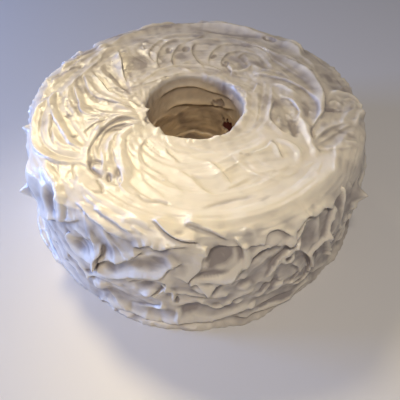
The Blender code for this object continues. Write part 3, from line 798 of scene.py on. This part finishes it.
def middle_of_side(blade):
    """Overlapping layers that curl and rise to the right, and the hollows under them."""
    blade.stroke(on_side((248, 90), (255, 85), (262, 84), (270, 86)), 11, 2.5, 0.3)
    blade.stroke(on_side((244, 30), (250, 20), (258, 15), (266, 16)), 12, 2.2, 0.3)
    blade.stroke(on_side((243, 50), (249, 62), (256, 72), (266, 82)), 8, 1.9, 0.3)
    blade.dent(side(241, 25), 13, 8, -3.4, turn=50)
    blade.fold(on_side((236.5, 22), (238, 30), (241, 35), (245, 36.5), (249, 33)), 5, 2.2, ends=4)
    blade.fold(on_side((240.5, 41), (240.5, 49), (241.5, 58), (243.5, 67), (244, 76)),
               6, 3.4, ends=5, undercut=0.5)
    blade.fold(on_side((240.5, 43), (241.5, 51), (243.5, 58), (246.5, 64), (250, 68), (253.5, 75),
               (257, 82)), 9, 4.4, lean=0.6, undercut=0.45, ends=6)
    blade.fold(on_side((239.5, 41), (243, 42), (247.5, 46), (252, 53), (257, 60), (260.5, 61.5), (263, 66),
               (265, 74), (268, 78)), 9, 4.5, lean=0.7, undercut=0.5, ends=6)
    blade.dent(side(257, 47), 10, 5, 2.0, turn=35, thin=0.3)
    blade.fold(on_side((251, 43), (254, 50), (258, 56.5), (262, 58.5), (263.4, 54), (262, 45), (258, 34)),
               6, 2.6, ends=5)
    blade.dent(side(258, 39), 10, 4, -3.4, turn=35)
    blade.band(on_side((262, 52), (264.5, 48), (265.6, 43), (265.2, 38)), 2.6, 3.1, ends=3)
    blade.pull(side(265.3, 40), 4, (2.5, 0.5, -2.5))
    blade.dent(side(266.3, 35), 4.5, 1.8, 2.8, turn=100, thin=1.4, ragged=0.4)
    blade.fold(on_side((265.5, 43), (269, 43), (272, 40.5), (278, 39.5), (282, 41)), 6, 2.6, ends=4)
    blade.dent(side(271, 23), 17, 11, 2.4, turn=8, thin=0.2, ragged=0.0)
    blade.dent(side(270, 22), 10, 7, 2.0, turn=8, thin=0.5)
    blade.band(on_side((273, 36), (275.5, 28), (278, 23), (281, 26), (283, 33)), 3.0, 2.2, ends=5)
    blade.fold(on_side((262, 31), (261, 23), (257, 17), (251, 13)), 6, 2.2)
    blade.band(on_side((266.5, 24), (267, 16), (266, 9)), 3.0, 2.1)
    blade.worn(side(250, 24), 12, 4, 0.4)
    blade.worn(side(262, 80), 12, 4, 0.5, turn=10)
    blade.worn(side(254, 88), 10, 3, 0.6, turn=-20)


def spiral_of_side(blade):
    """The deep spiral hollow below the rim, in front right of the middle."""
    blade.dent(side(278.5, 85), 19, 12, 3.4, turn=76, thin=0.2, ragged=0.0)
    blade.dent(side(277.5, 82), 12, 7, 2.8, turn=70, thin=0.2, ragged=0.0)
    blade.band(on_side((285.5, 92), (285.8, 82), (283.4, 75), (280, 68.5), (275.5, 64), (271.5, 61)),
               3.6, 2.2, ends=6)
    blade.fold([top(282.5, 123), side(284.5, 89), side(284.5, 82), side(283, 75), side(280, 70.5),
               side(276, 67), side(272, 64)], 5, 2.5, lean=0.2, ends=5)
    blade.fold(on_side((282.5, 88), (282, 81), (279.5, 75), (276.5, 72)), 6, 1.0, undercut=0.1)
    blade.fold(on_side((280.8, 92), (280.6, 86), (279, 81), (276.5, 78)), 5, 0.6, undercut=0.1)
    blade.fold([top(278, 124), side(279, 89), side(278, 84)], 4, 0.5, undercut=0.1)
    blade.worn(side(277, 88), 7, 4, 0.5, turn=60)
    blade.worn(side(281, 78), 6, 3, 0.5, turn=60)
    blade.fold(on_side((269.8, 60), (270.6, 65), (272.3, 71), (273.6, 78), (274, 84), (276, 87)),
               9, 4.7, lean=0.7, undercut=0.4, ends=3)
    blade.pull(side(270.3, 61), 4.5, (3.0, -0.5, -2.5))
    blade.smear(on_side((274, 70), (277, 74), (281, 79)), 1.5, 1.0)
    blade.smear(on_side((275, 77), (278, 82), (280, 88)), 1.8, 0.8)
    blade.smear(on_side((273.5, 66), (277, 69), (281, 72)), 1.3, 0.6)
    blade.dent(side(280.5, 83), 3, 2, 0.8, thin=1.0, ragged=0.3)
    blade.dent(side(274.5, 91), 3, 1.6, -1.6)
    blade.dent(side(273.5, 53), 9, 6, -2.0, turn=60)
    blade.fold(on_side((269.8, 61), (272.3, 57), (274, 51.5), (275, 43.5)), 7, 3.2, lean=0.4, ends=3)
    blade.pull(side(275, 45), 4.5, (3.0, 0.5, -3.0))


def right_of_side(blade):
    """The long overhanging fold, the scooped wall behind it and a hanging white tatter."""
    blade.stroke(on_side((282, 42), (288, 54), (293, 66), (299, 76)), 8, 1.9, 0.3)
    blade.stroke(on_side((309, 94), (308, 82), (306, 68), (303, 54)), 12, 3.5, 0.3)
    blade.stroke(on_side((326, 94), (326, 78), (327, 58), (330, 40)), 8, 1.6, 1.8)
    blade.stroke(on_side((312, 38), (316, 26), (324, 16), (334, 10)), 10, 1.9, 1.0)
    blade.fold(on_side((275, 43), (277, 54), (281, 65), (284.5, 73), (288, 78), (290.5, 81.5), (293.5, 83),
               (297, 81.5), (299.5, 82), (301, 85)), 10, 5.4, lean=0.7, undercut=0.7, ends=4)
    blade.fold([side(297, 82), side(299.5, 82), side(301, 86), side(303, 90), top(306, 126), side(309, 91),
               top(312.5, 127), side(315, 89),
               side(317, 84)], 9, 4.1, lean=0.6, ragged=0.12, undercut=0.6, ends=4)
    blade.ridge(on_side((275.5, 52), (279, 63.5), (282.5, 74), (286, 79)), 1.8, 1.0)
    blade.crease(on_side((276.6, 45), (278.6, 53), (282.4, 63), (286, 71), (289.6, 76.5), (293, 80.5)),
                 3.2, 2.2, 0.9)
    blade.fold([side(290.5, 87), side(291.5, 91), top(293, 125), top(296, 125), side(298, 90),
               side(299, 86)], 6, 2.4, ends=4)
    blade.band([top(285.5, 123), top(286.5, 119), top(288, 119.5), top(289, 124),
               side(288.5, 87)], 2.4, 0.7, ends=4)
    blade.worn(top(287, 123), 5, 3, 0.6)
    blade.dent(side(294.5, 86), 5, 4, 1.6, turn=20, thin=0.5)
    blade.fold(on_side((303.5, 80), (302, 76), (298.5, 72.5), (295.5, 66), (294, 57), (293, 50)),
               7, 3.2, lean=0.3, ragged=0.12, ends=5)
    blade.ridge(on_side((297, 62), (299, 69), (302, 73.5), (305, 78)), 2.0, 1.2)
    blade.band(on_side((297.5, 66), (298.6, 60.5), (300.8, 60), (301.4, 65)), 2.0, 1.9, ends=2)
    blade.dent(side(300, 62.5), 3, 2, 1.6, turn=60, thin=0.8)
    blade.fold(on_side((305, 62), (308, 51), (309.8, 40), (310, 30), (308.5, 23), (304, 24)),
               7, 3.1, ends=5)
    blade.fold(on_side((302, 52), (305, 42), (304.5, 32), (301, 28)), 6, 1.9, ends=5)
    blade.worn(side(295, 38), 12, 7, 0.7, turn=60)
    blade.dent(side(296, 42), 8, 5, 2.2, turn=70, thin=0.8, ragged=0.3)
    blade.fold(on_side((290.5, 26), (293.5, 33), (296.5, 42)), 4, 1.9, ends=3)
    blade.fold(on_side((294, 24), (297.5, 30), (299.5, 38)), 4, 2.1, ends=3)
    blade.crease(on_side((291.5, 34), (293.5, 42)), 1.8, 1.9, 1.2)
    blade.fold(on_side((281.5, 52), (283, 57), (285, 59), (287, 57)), 4, 2.1, ends=3)
    blade.dent(side(286.5, 47), 8, 5, -2.8, turn=20)
    blade.fold(on_side((280, 24), (283, 31), (286, 37), (290, 40)), 6, 2.5, ends=4)
    blade.dent(side(285, 27), 6, 3, -1.8, turn=30)
    blade.band(on_side((318, 87), (316.5, 76), (314.8, 68), (313, 62)), 3.2, 3.8, ends=4)
    blade.band(on_side((314.5, 68), (315, 58), (317, 47), (318.8, 37), (319.8, 27)), 3.0, 5.7, ends=4)
    blade.band(on_side((314, 65), (311, 61), (309, 57.5), (306.5, 54)), 2.6, 3.8, ends=4)
    blade.dent(side(311.5, 49), 6, 3, 4.2, turn=115, power=0.7, thin=1.5, ragged=0.3)
    blade.dent(side(313.6, 38), 5, 2.0, 3.0, turn=95, thin=1.4, ragged=0.4)
    blade.fold(on_side((309, 52), (310.5, 42), (311.5, 30)), 4, 1.9, ends=4)
    blade.fold(on_side((284, 6), (290, 6), (297, 5), (303, 4), (307, 7), (313, 12)), 5, 2.2, ends=5)
    blade.dent(side(289.5, 21), 5, 2.5, -2.2, turn=20)
    blade.crease(on_side((292, 12), (298, 12), (304, 9)), 3.0, 1.9, 1.0)


def front_rim(blade):
    """The edge where the blade left the top, and frosting pushed over it that hangs down the side."""
    blade.ridge(on_top((222, 113), (238, 112), (252, 114), (263, 114), (281, 112), (300, 112), (317, 113),
                (332, 115)), 16, 2.0, outer=0.25, sharp=1.2, ends=25)
    blade.fold([top(232, 123), top(236, 124), top(240, 126), top(245, 127), side(249, 87)], 6, 1.9)
    blade.fold(on_top((239, 120), (243, 121), (248, 122.5), (250.5, 124), (254, 125)),
               7, 2.2, lean=0.3, ends=6)
    blade.band(on_top((249, 119.5), (252, 117.5), (256, 117.5), (259, 118.5)), 3.4, 1.5, ends=4)
    blade.band(on_top((252.5, 121), (254.5, 122), (257, 123.5)), 2.2, 1.2, ends=3)
    blade.fold(on_top((258, 114), (260, 117), (262.5, 120.5), (265, 123), (267.5, 124.5), (270, 125),
               (273, 125)), 9, 4.4, lean=0.7, undercut=0.5, ends=5)
    blade.fold(on_top((268, 114), (271, 115), (273.5, 116.5), (276.5, 119), (279, 122), (281.5, 124.5)),
               9, 3.1, lean=0.6, undercut=0.4, ends=5)
    blade.fold(on_side((254, 85), (257, 88), (259, 90), (261, 88), (263, 89), (265, 91), (270, 92)),
               6, 2.2, lean=0.4, ragged=0.2, ends=4)
    blade.dent(top(267, 119), 4, 2, 0.8, thin=0.5)


def foot_of_side(blade):
    """The ridge that the blade left just above the board, and tatters round the foot."""
    blade.fold(on_side((240, 1), (245, 4), (254, 4), (261, 4), (270, 7), (277, 7), (281, 12), (284, 15),
               (287.5, 18), (291, 17)), 7, 3.4, lean=0.5, ragged=0.06, ends=4)
    blade.pull(side(288, 5), 7, (3.0, 0.0, -2.0))


def hole_wall(blade):
    """Level ridges round the hole where the blade was drawn along its wall."""
    for turn in (0, 120, 240):
        blade.stroke(in_hole((turn, 24), (turn + 60, 20), (turn + 130, 26)),
                     14, 1.0, 1.0, start=0.5, end=0.5)
        blade.stroke(in_hole((turn, 52), (turn + 60, 54), (turn + 130, 50)),
                     14, 1.0, 1.0, start=0.5, end=0.5)
    blade.fold(in_hole((140, 68), (124, 70), (104, 70), (84, 69), (50, 73), (24, 80)),
               12, 2.6, lean=0.2, undercut=0.1)
    blade.fold(in_hole((150, 84), (130, 87), (112, 87), (92, 87), (66, 84), (30, 86)),
               5, 1.4, lean=0.2, undercut=0.1)
    blade.dent(hole(56, 75), 8, 5, 1.8, ragged=0.3, thin=0.8)
    blade.dent(hole(40, 53), 9, 9, 4.0, ragged=0.3, thin=1.4)
    blade.worn(hole(117, 32), 4, 3, 1.2)
    blade.worn(hole(99, 29), 5, 4, 1.2)


# ---------------------------------------------------------------- the whole coat
def smooth_window(values, start, end, fade_in, fade_out):
    """Rise from 0 to 1 over the first width after start, and fall back over the last width before end."""
    return smooth_step((values - start) / fade_in) * smooth_step((end - values) / fade_out)


def worn_shoulder(coat):
    """Take the shoulder down at the front right, where the blade ran off the cake."""
    angle, distance = np.meshgrid(coat.angles, coat.distances)
    round_front = smooth_window(angle, 258, 352, 25, 35)
    start = top(0, 108)[1]
    middle = top(0, 129)[1]
    end = side(0, 62)[1]
    slope = smooth_window(distance, start, end, middle - start, end - middle)
    coat.heights -= SHOULDER_WEAR * round_front * slope


def share_on_top(places):
    """1 on the top and 0 on the side, fading over the shoulder."""
    return np.clip((places[..., 2] - 0.080) / 0.015, 0, 1)


def off_front_top_share(coat):
    """How much the coat is greyed, in worn patches and painted shade, and how strong its fine ripple is:
    little on the front of the top, where the light falls, full elsewhere.
    """
    front = np.clip(-coat.places[..., 1] / 0.05 - 0.2, 0, 1)
    return 1 - 0.85 * front * share_on_top(coat.places)


def marks_of_side(blade, turn, mirrored):
    """All the marks of the side, turned round the cake and drawn left for right if mirrored."""
    blade.turn = turn
    blade.mirrored = mirrored
    for draw in (left_of_side, middle_of_side, spiral_of_side, right_of_side, foot_of_side):
        draw(blade)


def peaks_of_side(blade):
    """Peaks that stand out at the cake's left and right edges."""
    blade.pull(side(206, 61), 9, (8.5, -1.0, 1.0), power=1.6)
    blade.pull(side(191, 90), 5, (5.5, -1.0, 1.0), power=1.3)
    blade.pull(side(333, 71), 9, (10.0, 1.0, -3.0), power=1.3)
    blade.pull(top(359, 126), 5, (3.0, 0.0, 3.0), power=1.3)


def wear_and_shade_coat(coat, patches):
    """Grey the coat in worn patches, and paint shade over all but the front of the top, more over the back
    and below the shoulder on the right.
    """
    across, back, up = np.moveaxis(coat.places, -1, 0)
    # Painted shade: greyer towards the back and right, and below the shoulder on the right
    behind = np.clip(back / 0.06 + 0.2, 0, 1) + 0.5 * np.clip(across / 0.06 - 0.7, 0, 1)
    below_shoulder = np.clip((0.092 - up) / 0.01, 0, 1)
    right = below_shoulder * np.clip(across / 0.05 + 0.2, 0, 1)
    # Worn patches, and an even painted shade over all but the front of the top
    coat.thin += (0.22 + 0.22 * np.clip(patches, 0, 2)) * off_front_top_share(coat)
    coat.thin += 0.20 * np.clip(behind, 0, 1) + 0.18 * right


def swirl_coat(coat):
    """Draw every mark on the coat, in the order that they lie over one another."""
    blade = Spatula(coat, SEED)
    coat.heights += BROAD_WAVES * field_noise(coat.places, blade.dice, 14, 0.025, 0.09)
    patches = field_noise(coat.places, blade.dice, 16, 0.012, 0.05)
    # A first layer of arcs all over, which shows where no other mark is laid over it
    scatter(blade, 70, top(0, 50)[1], top(0, 120)[1], TOP_STYLE)
    scatter(blade, 80, top(0, 124)[1], TOTAL_LENGTH - 0.014, SIDE_STYLE)
    hole_wall(blade)
    blade.show_cake_and_shadow(0.28, 0.4)
    back_of_top(blade)
    right_of_top(blade)
    blade.show_cake_and_shadow(0.12, 0.2)
    front_of_top(blade)
    blade.show_cake_and_shadow(0.2, 0.35)
    back_left_of_top(blade)
    left_of_top(blade)
    rim_of_hole(blade)
    blade.show_cake_and_shadow(0.3, 0.45)
    worn_shoulder(coat)
    # The back and the right, which the photo doesn't show, carry the front's marks turned or mirrored
    marks_of_side(blade, -138, False)
    marks_of_side(blade, 330, True)
    blade.turn = 90
    blade.mirrored = False
    middle_of_side(blade)
    marks_of_side(blade, 0, False)
    front_rim(blade)
    peaks_of_side(blade)
    ripple = field_noise(coat.places, blade.dice, 24, 0.0035, 0.012)
    coat.heights += FINE_WAVES * ripple * (0.3 + 0.7 * off_front_top_share(coat))
    wear_and_shade_coat(coat, patches)


def soften(coat, share):
    """Blend neighbouring heights a little, as soft frosting settles."""
    for grid in (coat.heights, coat.lean, coat.thin):
        around = (np.roll(grid, 1, axis=1) + np.roll(grid, -1, axis=1)) / 2
        along = grid.copy()
        along[1:-1] = (grid[:-2] + grid[2:]) / 2
        grid += share * ((around + along) / 2 - grid)


def blurred(grid, reach):
    """Mean over a square of cells that reaches this far to each side."""
    wide = np.concatenate([grid[:, -reach:], grid, grid[:, :reach]], axis=1)
    wide = np.pad(wide, ((reach, reach), (0, 0)), mode="edge")
    total = np.pad(wide.cumsum(axis=0).cumsum(axis=1), ((1, 0), (1, 0)))
    size = 2 * reach + 1
    blocks = total[size:, size:] - total[:-size, size:] - total[size:, :-size] + total[:-size, :-size]
    return blocks / size ** 2


def unevenness(places):
    """How much wider than the plain outline the cake is at each place, as a factor on its radius."""
    radius = np.hypot(places[..., 0], places[..., 1])
    turn = np.arctan2(places[..., 1], places[..., 0])
    outer = np.clip((radius - 0.6 * SHOULDER_RADIUS) / 0.04, 0, 1)
    rise = places[..., 2] / CAKE_HEIGHT
    top_part = TOP_SWELL + TOP_SHIFT * np.cos(turn - math.radians(TOP_SHIFT_ANGLE))
    skirt_part = SKIRT_STRETCH * np.cos(turn) ** 2
    return 1 + outer * (top_part * rise + skirt_part * (1 - rise)) / radius


def trim_skirt(outer, distances):
    """Pull the skirt's rows in to its uneven, torn reach."""
    dice = random.Random(SEED)
    turn = np.arange(AROUND) * 2 * math.pi / AROUND
    reach = np.interp(np.degrees(turn), *zip(*SKIRT_REACH))
    torn = wave_noise(dice, 9, 0.006, 0.04)(turn * SKIRT_RADIUS)
    reach = np.clip(reach - 0.08 + 0.12 * torn, 0.02, 1.0)
    skirt_width = SKIRT_RADIUS - FOOT_RADIUS
    plain = outline_at(distances)[0]
    beyond = np.clip((plain - FOOT_RADIUS) / skirt_width, 0, 1) * (distances > TOTAL_LENGTH / 2)
    radius = np.hypot(outer[..., 0], outer[..., 1])
    cut = beyond[:, None] * (1 - reach)[None] * skirt_width
    outer[..., :2] *= (1 - cut / radius)[..., None]


# ---------------------------------------------------------------- meshes
def grid_faces(rows, columns):
    """Quads of a grid that closes around its columns."""
    row, column = np.meshgrid(np.arange(rows - 1), np.arange(columns), indexing="ij")
    following = (column + 1) % columns
    return np.stack([row * columns + column, row * columns + following,
                     (row + 1) * columns + following, (row + 1) * columns + column], axis=-1).reshape(-1, 4)


def add_object(name, data):
    piece = bpy.data.objects.new(name, data)
    bpy.context.scene.collection.objects.link(piece)
    return piece


def ring_from_grid(name, grid):
    """Mesh object from a (rows, columns, 3) grid that closes on itself both ways."""
    rows, columns = grid.shape[:2]
    seam = grid_faces(2, columns)
    seam[:, 2:] = seam[:, 2:] - columns
    seam[:, :2] = seam[:, :2] + (rows - 1) * columns
    faces = np.vstack([grid_faces(rows, columns), seam])
    mesh = bpy.data.meshes.new(name)
    mesh.vertices.add(rows * columns)
    mesh.vertices.foreach_set("co", grid.astype(np.float32).ravel())
    mesh.loops.add(faces.size)
    mesh.loops.foreach_set("vertex_index", faces.astype(np.int32).ravel())
    mesh.polygons.add(len(faces))
    mesh.polygons.foreach_set("loop_start", np.arange(0, faces.size, 4, dtype=np.int32))
    mesh.update(calc_edges=True)
    mesh.validate()
    mesh.shade_smooth()
    return add_object(name, mesh)


def add_attribute(piece, name, values):
    layer = piece.data.attributes.new(name, "FLOAT", "POINT")
    layer.data.foreach_set("value", values.astype(np.float32).ravel())


def thin_out(piece, triangles):
    """Collapse edges where the surface is flat until about this many triangles are left."""
    decimate = piece.modifiers.new("Decimate", "DECIMATE")
    decimate.ratio = triangles / (len(piece.data.polygons) * 2)
    decimate.use_collapse_triangulate = True
    depsgraph = bpy.context.evaluated_depsgraph_get()
    mesh = bpy.data.meshes.new_from_object(piece.evaluated_get(depsgraph))
    piece.modifiers.clear()
    old = piece.data
    piece.data = mesh
    bpy.data.meshes.remove(old)


def underside_rings(outer):
    """Rings that close the coat below: in from the foot, up to the bare sponge and out at the hole."""
    foot = outer[-1].copy()
    foot[:, 2] = 0.0
    foot_radius = np.hypot(foot[:, 0], foot[:, 1])[:, None]
    hole_radius = np.hypot(outer[0, :, 0], outer[0, :, 1])[:, None]
    flat = np.array([1.0, 1.0, 0.0])
    lift = np.array([0.0, 0.0, UNDERSIDE_RECESS])
    edge = foot * (FOOT_RADIUS - FOOT_RIM) / foot_radius
    hole_edge = outer[0] * flat * (HOLE_RADIUS_FOOT + HOLE_RIM) / hole_radius
    return np.array([foot, edge, edge + lift, hole_edge + lift, hole_edge])


def paint_attributes(piece, coat, extra_rows):
    """Store how much of the cake shows through the coat, with painted shade added in its hollows, and how
    deep in the hole each vertex lies, for the painted shade there.
    """
    def spread(values):
        """The coat's values with the underside's rows added, in the mesh's order."""
        return np.pad(values, ((0, extra_rows), (0, 0)), mode="edge")[:, ::-1]

    # How far each vertex lies below the mean of the coat round it: hollows get painted shade, rises are
    # lightened as much
    heights = spread(coat.heights)
    wide = blurred(blurred(heights, 6), 6)
    near = blurred(blurred(heights, 3), 3)
    hollow = 0.5 * wide + 0.5 * near - blurred(heights, 1)
    hollow_shade_strength = spread(HOLLOW_SHADE - HOLLOW_SHADE_LESS_ON_TOP * share_on_top(coat.places))
    # Painted shade: hollows greyed and rises lightened, added to the coat's thinness
    add_attribute(piece, "thin", blurred(spread(coat.thin), 1) + hollow_shade_strength * np.tanh(hollow / MM))
    # How deep in the hole each vertex lies, which sets the painted shade there
    down = CAKE_HEIGHT - coat.places[..., 2]
    depth = 0.6 * np.clip(down / 0.012, 0, 1) + 0.4 * np.clip((down - 0.02) / 0.03, 0, 1)
    in_hole = (coat.distances < TOTAL_LENGTH / 3)[:, None]
    add_attribute(piece, "inside", spread(depth * in_hole))


def build_frosting():
    """The coat as one closed mesh, and the grid of its outer surface."""
    coat = Coat()
    swirl_coat(coat)
    soften(coat, 0.6)
    # The marks die away at the foot, where the coat meets the board
    fade = np.clip((coat.places[..., 2] - 0.0005) / 0.006, 0, 1)
    outer = coat.places + coat.normals * (coat.heights * fade)[..., None] + coat.lean * fade[..., None]
    outer[..., :2] *= unevenness(coat.places)[..., None]
    trim_skirt(outer, coat.distances)
    outer[0, :, 2] = 0.0
    under = underside_rings(outer)
    piece = ring_from_grid("frosting", np.concatenate([outer, under], axis=0)[:, ::-1])
    paint_attributes(piece, coat, len(under))
    thin_out(piece, COAT_TRIANGLES)
    piece.data.shade_smooth()
    return piece, outer


def build_sponge():
    """The red cake itself: it shows where the coat is torn in the hole, and on the underside."""
    outline = rounded_outline([
        (HOLE_RADIUS_FOOT + SPONGE_BELOW_COAT, SPONGE_LIFT, 0.0),
        (HOLE_RADIUS_TOP + SPONGE_BELOW_COAT, CAKE_HEIGHT - SPONGE_DROP, 0.004),
        (SHOULDER_RADIUS - SPONGE_INSET, CAKE_HEIGHT - SPONGE_DROP, 0.012),
        (FOOT_RADIUS - 0.008, SPONGE_LIFT, 0.0),
    ])
    lengths = lengths_along(outline)
    steps = np.linspace(0, lengths[-1], SPONGE_ROWS)
    turn = np.arange(SPONGE_AROUND) * 2 * math.pi / SPONGE_AROUND
    radius = np.interp(steps, lengths, outline[:, 0])[:, None] + 0 * turn[None]
    height = np.interp(steps, lengths, outline[:, 1])[:, None] + 0 * turn[None]
    grid = np.stack([radius * np.cos(turn), radius * np.sin(turn), height], axis=-1)
    crumb = SPONGE_ROUGHNESS * field_noise(grid, random.Random(SEED), 20, 0.002, 0.008)
    crumb = crumb * np.clip(height / 0.004 - 0.1, 0, 1)
    grid[..., :2] *= (1 + crumb / radius)[..., None]
    return ring_from_grid("sponge", grid[:, ::-1])


def build_crumbs(outer):
    """Small lumps of the red cake that were dragged into the frosting, joined as one mesh."""
    dice = random.Random(SEED)
    soup = bmesh.new()
    for (angle, distance), width in CRUMBS:
        row = int(round(distance / TOTAL_LENGTH * (ROWS - 1)))
        column = int(round(angle / 360 * AROUND)) % AROUND
        lump = bmesh.ops.create_icosphere(soup, subdivisions=2, radius=0.5 * width * MM)["verts"]
        stretch = Vector([dice.uniform(0.7, 1.3) for _ in range(3)])
        for vertex in lump:
            vertex.co = vertex.co * stretch * dice.uniform(0.8, 1.2) + Vector(outer[row, column])
    mesh = bpy.data.meshes.new("crumbs")
    soup.to_mesh(mesh)
    soup.free()
    return add_object("crumbs", mesh)


# ---------------------------------------------------------------- materials
def new_material(name, roughness):
    """A material, its node tree and its shader."""
    material = bpy.data.materials.new(name)
    material.use_nodes = True
    shader = material.node_tree.nodes["Principled BSDF"]
    shader.inputs["Roughness"].default_value = roughness
    return material, material.node_tree, shader


def add_attribute_node(tree, name):
    node = tree.nodes.new("ShaderNodeAttribute")
    node.attribute_name = name
    return node.outputs["Fac"]


def add_mix(tree, factor, second):
    """A colour mix whose second colour comes in with the factor."""
    mix = tree.nodes.new("ShaderNodeMix")
    mix.data_type = "RGBA"
    mix.inputs["B"].default_value = (*second, 1)
    tree.links.new(factor, mix.inputs["Factor"])
    return mix


def add_bump(tree, shader, noise, strength, distance):
    bump = tree.nodes.new("ShaderNodeBump")
    bump.inputs["Strength"].default_value = strength
    bump.inputs["Distance"].default_value = distance
    tree.links.new(noise.outputs["Fac"], bump.inputs["Height"])
    tree.links.new(bump.outputs["Normal"], shader.inputs["Normal"])


def frosting_material():
    """Cream, greyer where the coat is thin and where shade is painted, and browner with painted shade down
    in the hole.
    """
    material, tree, shader = new_material("cream_cheese_frosting", 0.30)
    shader.inputs["Subsurface Weight"].default_value = 0.08
    shader.inputs["Subsurface Radius"].default_value = (1.0, 0.75, 0.5)
    shader.inputs["Subsurface Scale"].default_value = 0.002
    shader.inputs["Specular IOR Level"].default_value = 0.5
    scale = tree.nodes.new("ShaderNodeMapRange")
    scale.inputs["From Min"].default_value = 0.05
    scale.inputs["From Max"].default_value = 1.0
    tree.links.new(add_attribute_node(tree, "thin"), scale.inputs["Value"])
    mix = add_mix(tree, scale.outputs["Result"], THIN_AND_SHADE_COLOUR)
    mix.inputs["A"].default_value = (*CREAM_COLOUR, 1)
    # Painted shade down the hole: browner and darker with depth
    tan = add_mix(tree, add_attribute_node(tree, "inside"), HOLE_SHADE_TINT)
    tan.blend_type = "MULTIPLY"
    tree.links.new(mix.outputs["Result"], tan.inputs["A"])
    tree.links.new(tan.outputs["Result"], shader.inputs["Base Color"])
    noise = tree.nodes.new("ShaderNodeTexNoise")
    noise.inputs["Scale"].default_value = 700
    add_bump(tree, shader, noise, 0.12, 0.0005)
    return material


def sponge_material():
    """Dark red crumb with a rough surface."""
    material, tree, shader = new_material("red_velvet_crumb", 0.8)
    noise = tree.nodes.new("ShaderNodeTexNoise")
    noise.inputs["Scale"].default_value = 450
    noise.inputs["Detail"].default_value = 6
    tint = add_mix(tree, noise.outputs["Fac"], SPONGE_LIGHT)
    tint.inputs["A"].default_value = (*SPONGE_DARK, 1)
    tree.links.new(tint.outputs["Result"], shader.inputs["Base Color"])
    add_bump(tree, shader, noise, 0.8, 0.0010)
    return material


# ---------------------------------------------------------------- camera and light
def add_camera():
    data = bpy.data.cameras.new("camera")
    data.lens = CAMERA_LENS
    data.sensor_width = CAMERA_SENSOR
    data.clip_start = 0.01
    camera = add_object("camera", data)
    ahead = Vector((0, math.cos(CAMERA_PITCH), -math.sin(CAMERA_PITCH)))
    level = Vector((1, 0, 0))
    upright = level.cross(ahead)
    right = level * math.cos(CAMERA_ROLL) + upright * math.sin(CAMERA_ROLL)
    up = upright * math.cos(CAMERA_ROLL) - level * math.sin(CAMERA_ROLL)
    turn = Matrix((right, up, -ahead)).transposed()
    camera.matrix_world = Matrix.Translation(CAMERA_PLACE) @ turn.to_4x4()
    bpy.context.scene.camera = camera


def add_light(name, kind, place, target, watts, colour):
    """A light at a place that shines at a target; returns its data, for its size."""
    data = bpy.data.lights.new(name, kind)
    data.energy = watts
    data.color = colour
    light = add_object(name, data)
    light.location = place
    light.rotation_euler = (Vector(target) - Vector(place)).to_track_quat("-Z", "Y").to_euler()
    return data


def add_lights():
    """A warm lamp from behind, a soft light above the front and a bluish window on the left."""
    lamp = add_light("lamp", "SPOT", (-0.38, 0.49, 0.78), (-0.050, -0.082, 0.09), 53, (1.0, 0.84, 0.50))
    lamp.shadow_soft_size = 0.14
    lamp.spot_size = math.radians(14)
    lamp.spot_blend = 0.6
    ceiling = add_light("ceiling", "AREA", (-0.05, -0.42, 0.98), (0, -0.05, 0.05), 3.7, (1.0, 0.90, 0.76))
    ceiling.size = 0.16
    window = add_light("window", "AREA", (-1.15, 0.05, 0.20), (0, 0, 0.05), 15.0, (0.22, 0.41, 1.0))
    window.size = 0.36


def add_world(colour, strength):
    world = bpy.data.worlds.new("studio")
    world.use_nodes = True
    background = world.node_tree.nodes["Background"]
    background.inputs["Color"].default_value = (*colour, 1)
    background.inputs["Strength"].default_value = strength
    bpy.context.scene.world = world
    bpy.context.scene.view_settings.view_transform = "Standard"


def add_floor():
    bpy.ops.mesh.primitive_plane_add(size=6, location=(0, 0, -0.0002))
    floor = bpy.context.object
    floor.name = "floor"
    material, _, shader = new_material("pale_floor", 0.7)
    shader.inputs["Base Color"].default_value = (*FLOOR_COLOUR, 1)
    floor.data.materials.append(material)


def main():
    add_camera()
    add_world(WORLD_COLOUR, WORLD_STRENGTH)
    add_lights()
    add_floor()
    frosting, outer = build_frosting()
    frosting.data.materials.append(frosting_material())
    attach(frosting, "root")
    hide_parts("frosted_cake")
    crumb = sponge_material()
    for piece in (build_sponge(), build_crumbs(outer)):
        piece.data.materials.append(crumb)
        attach(piece, "root")


main()
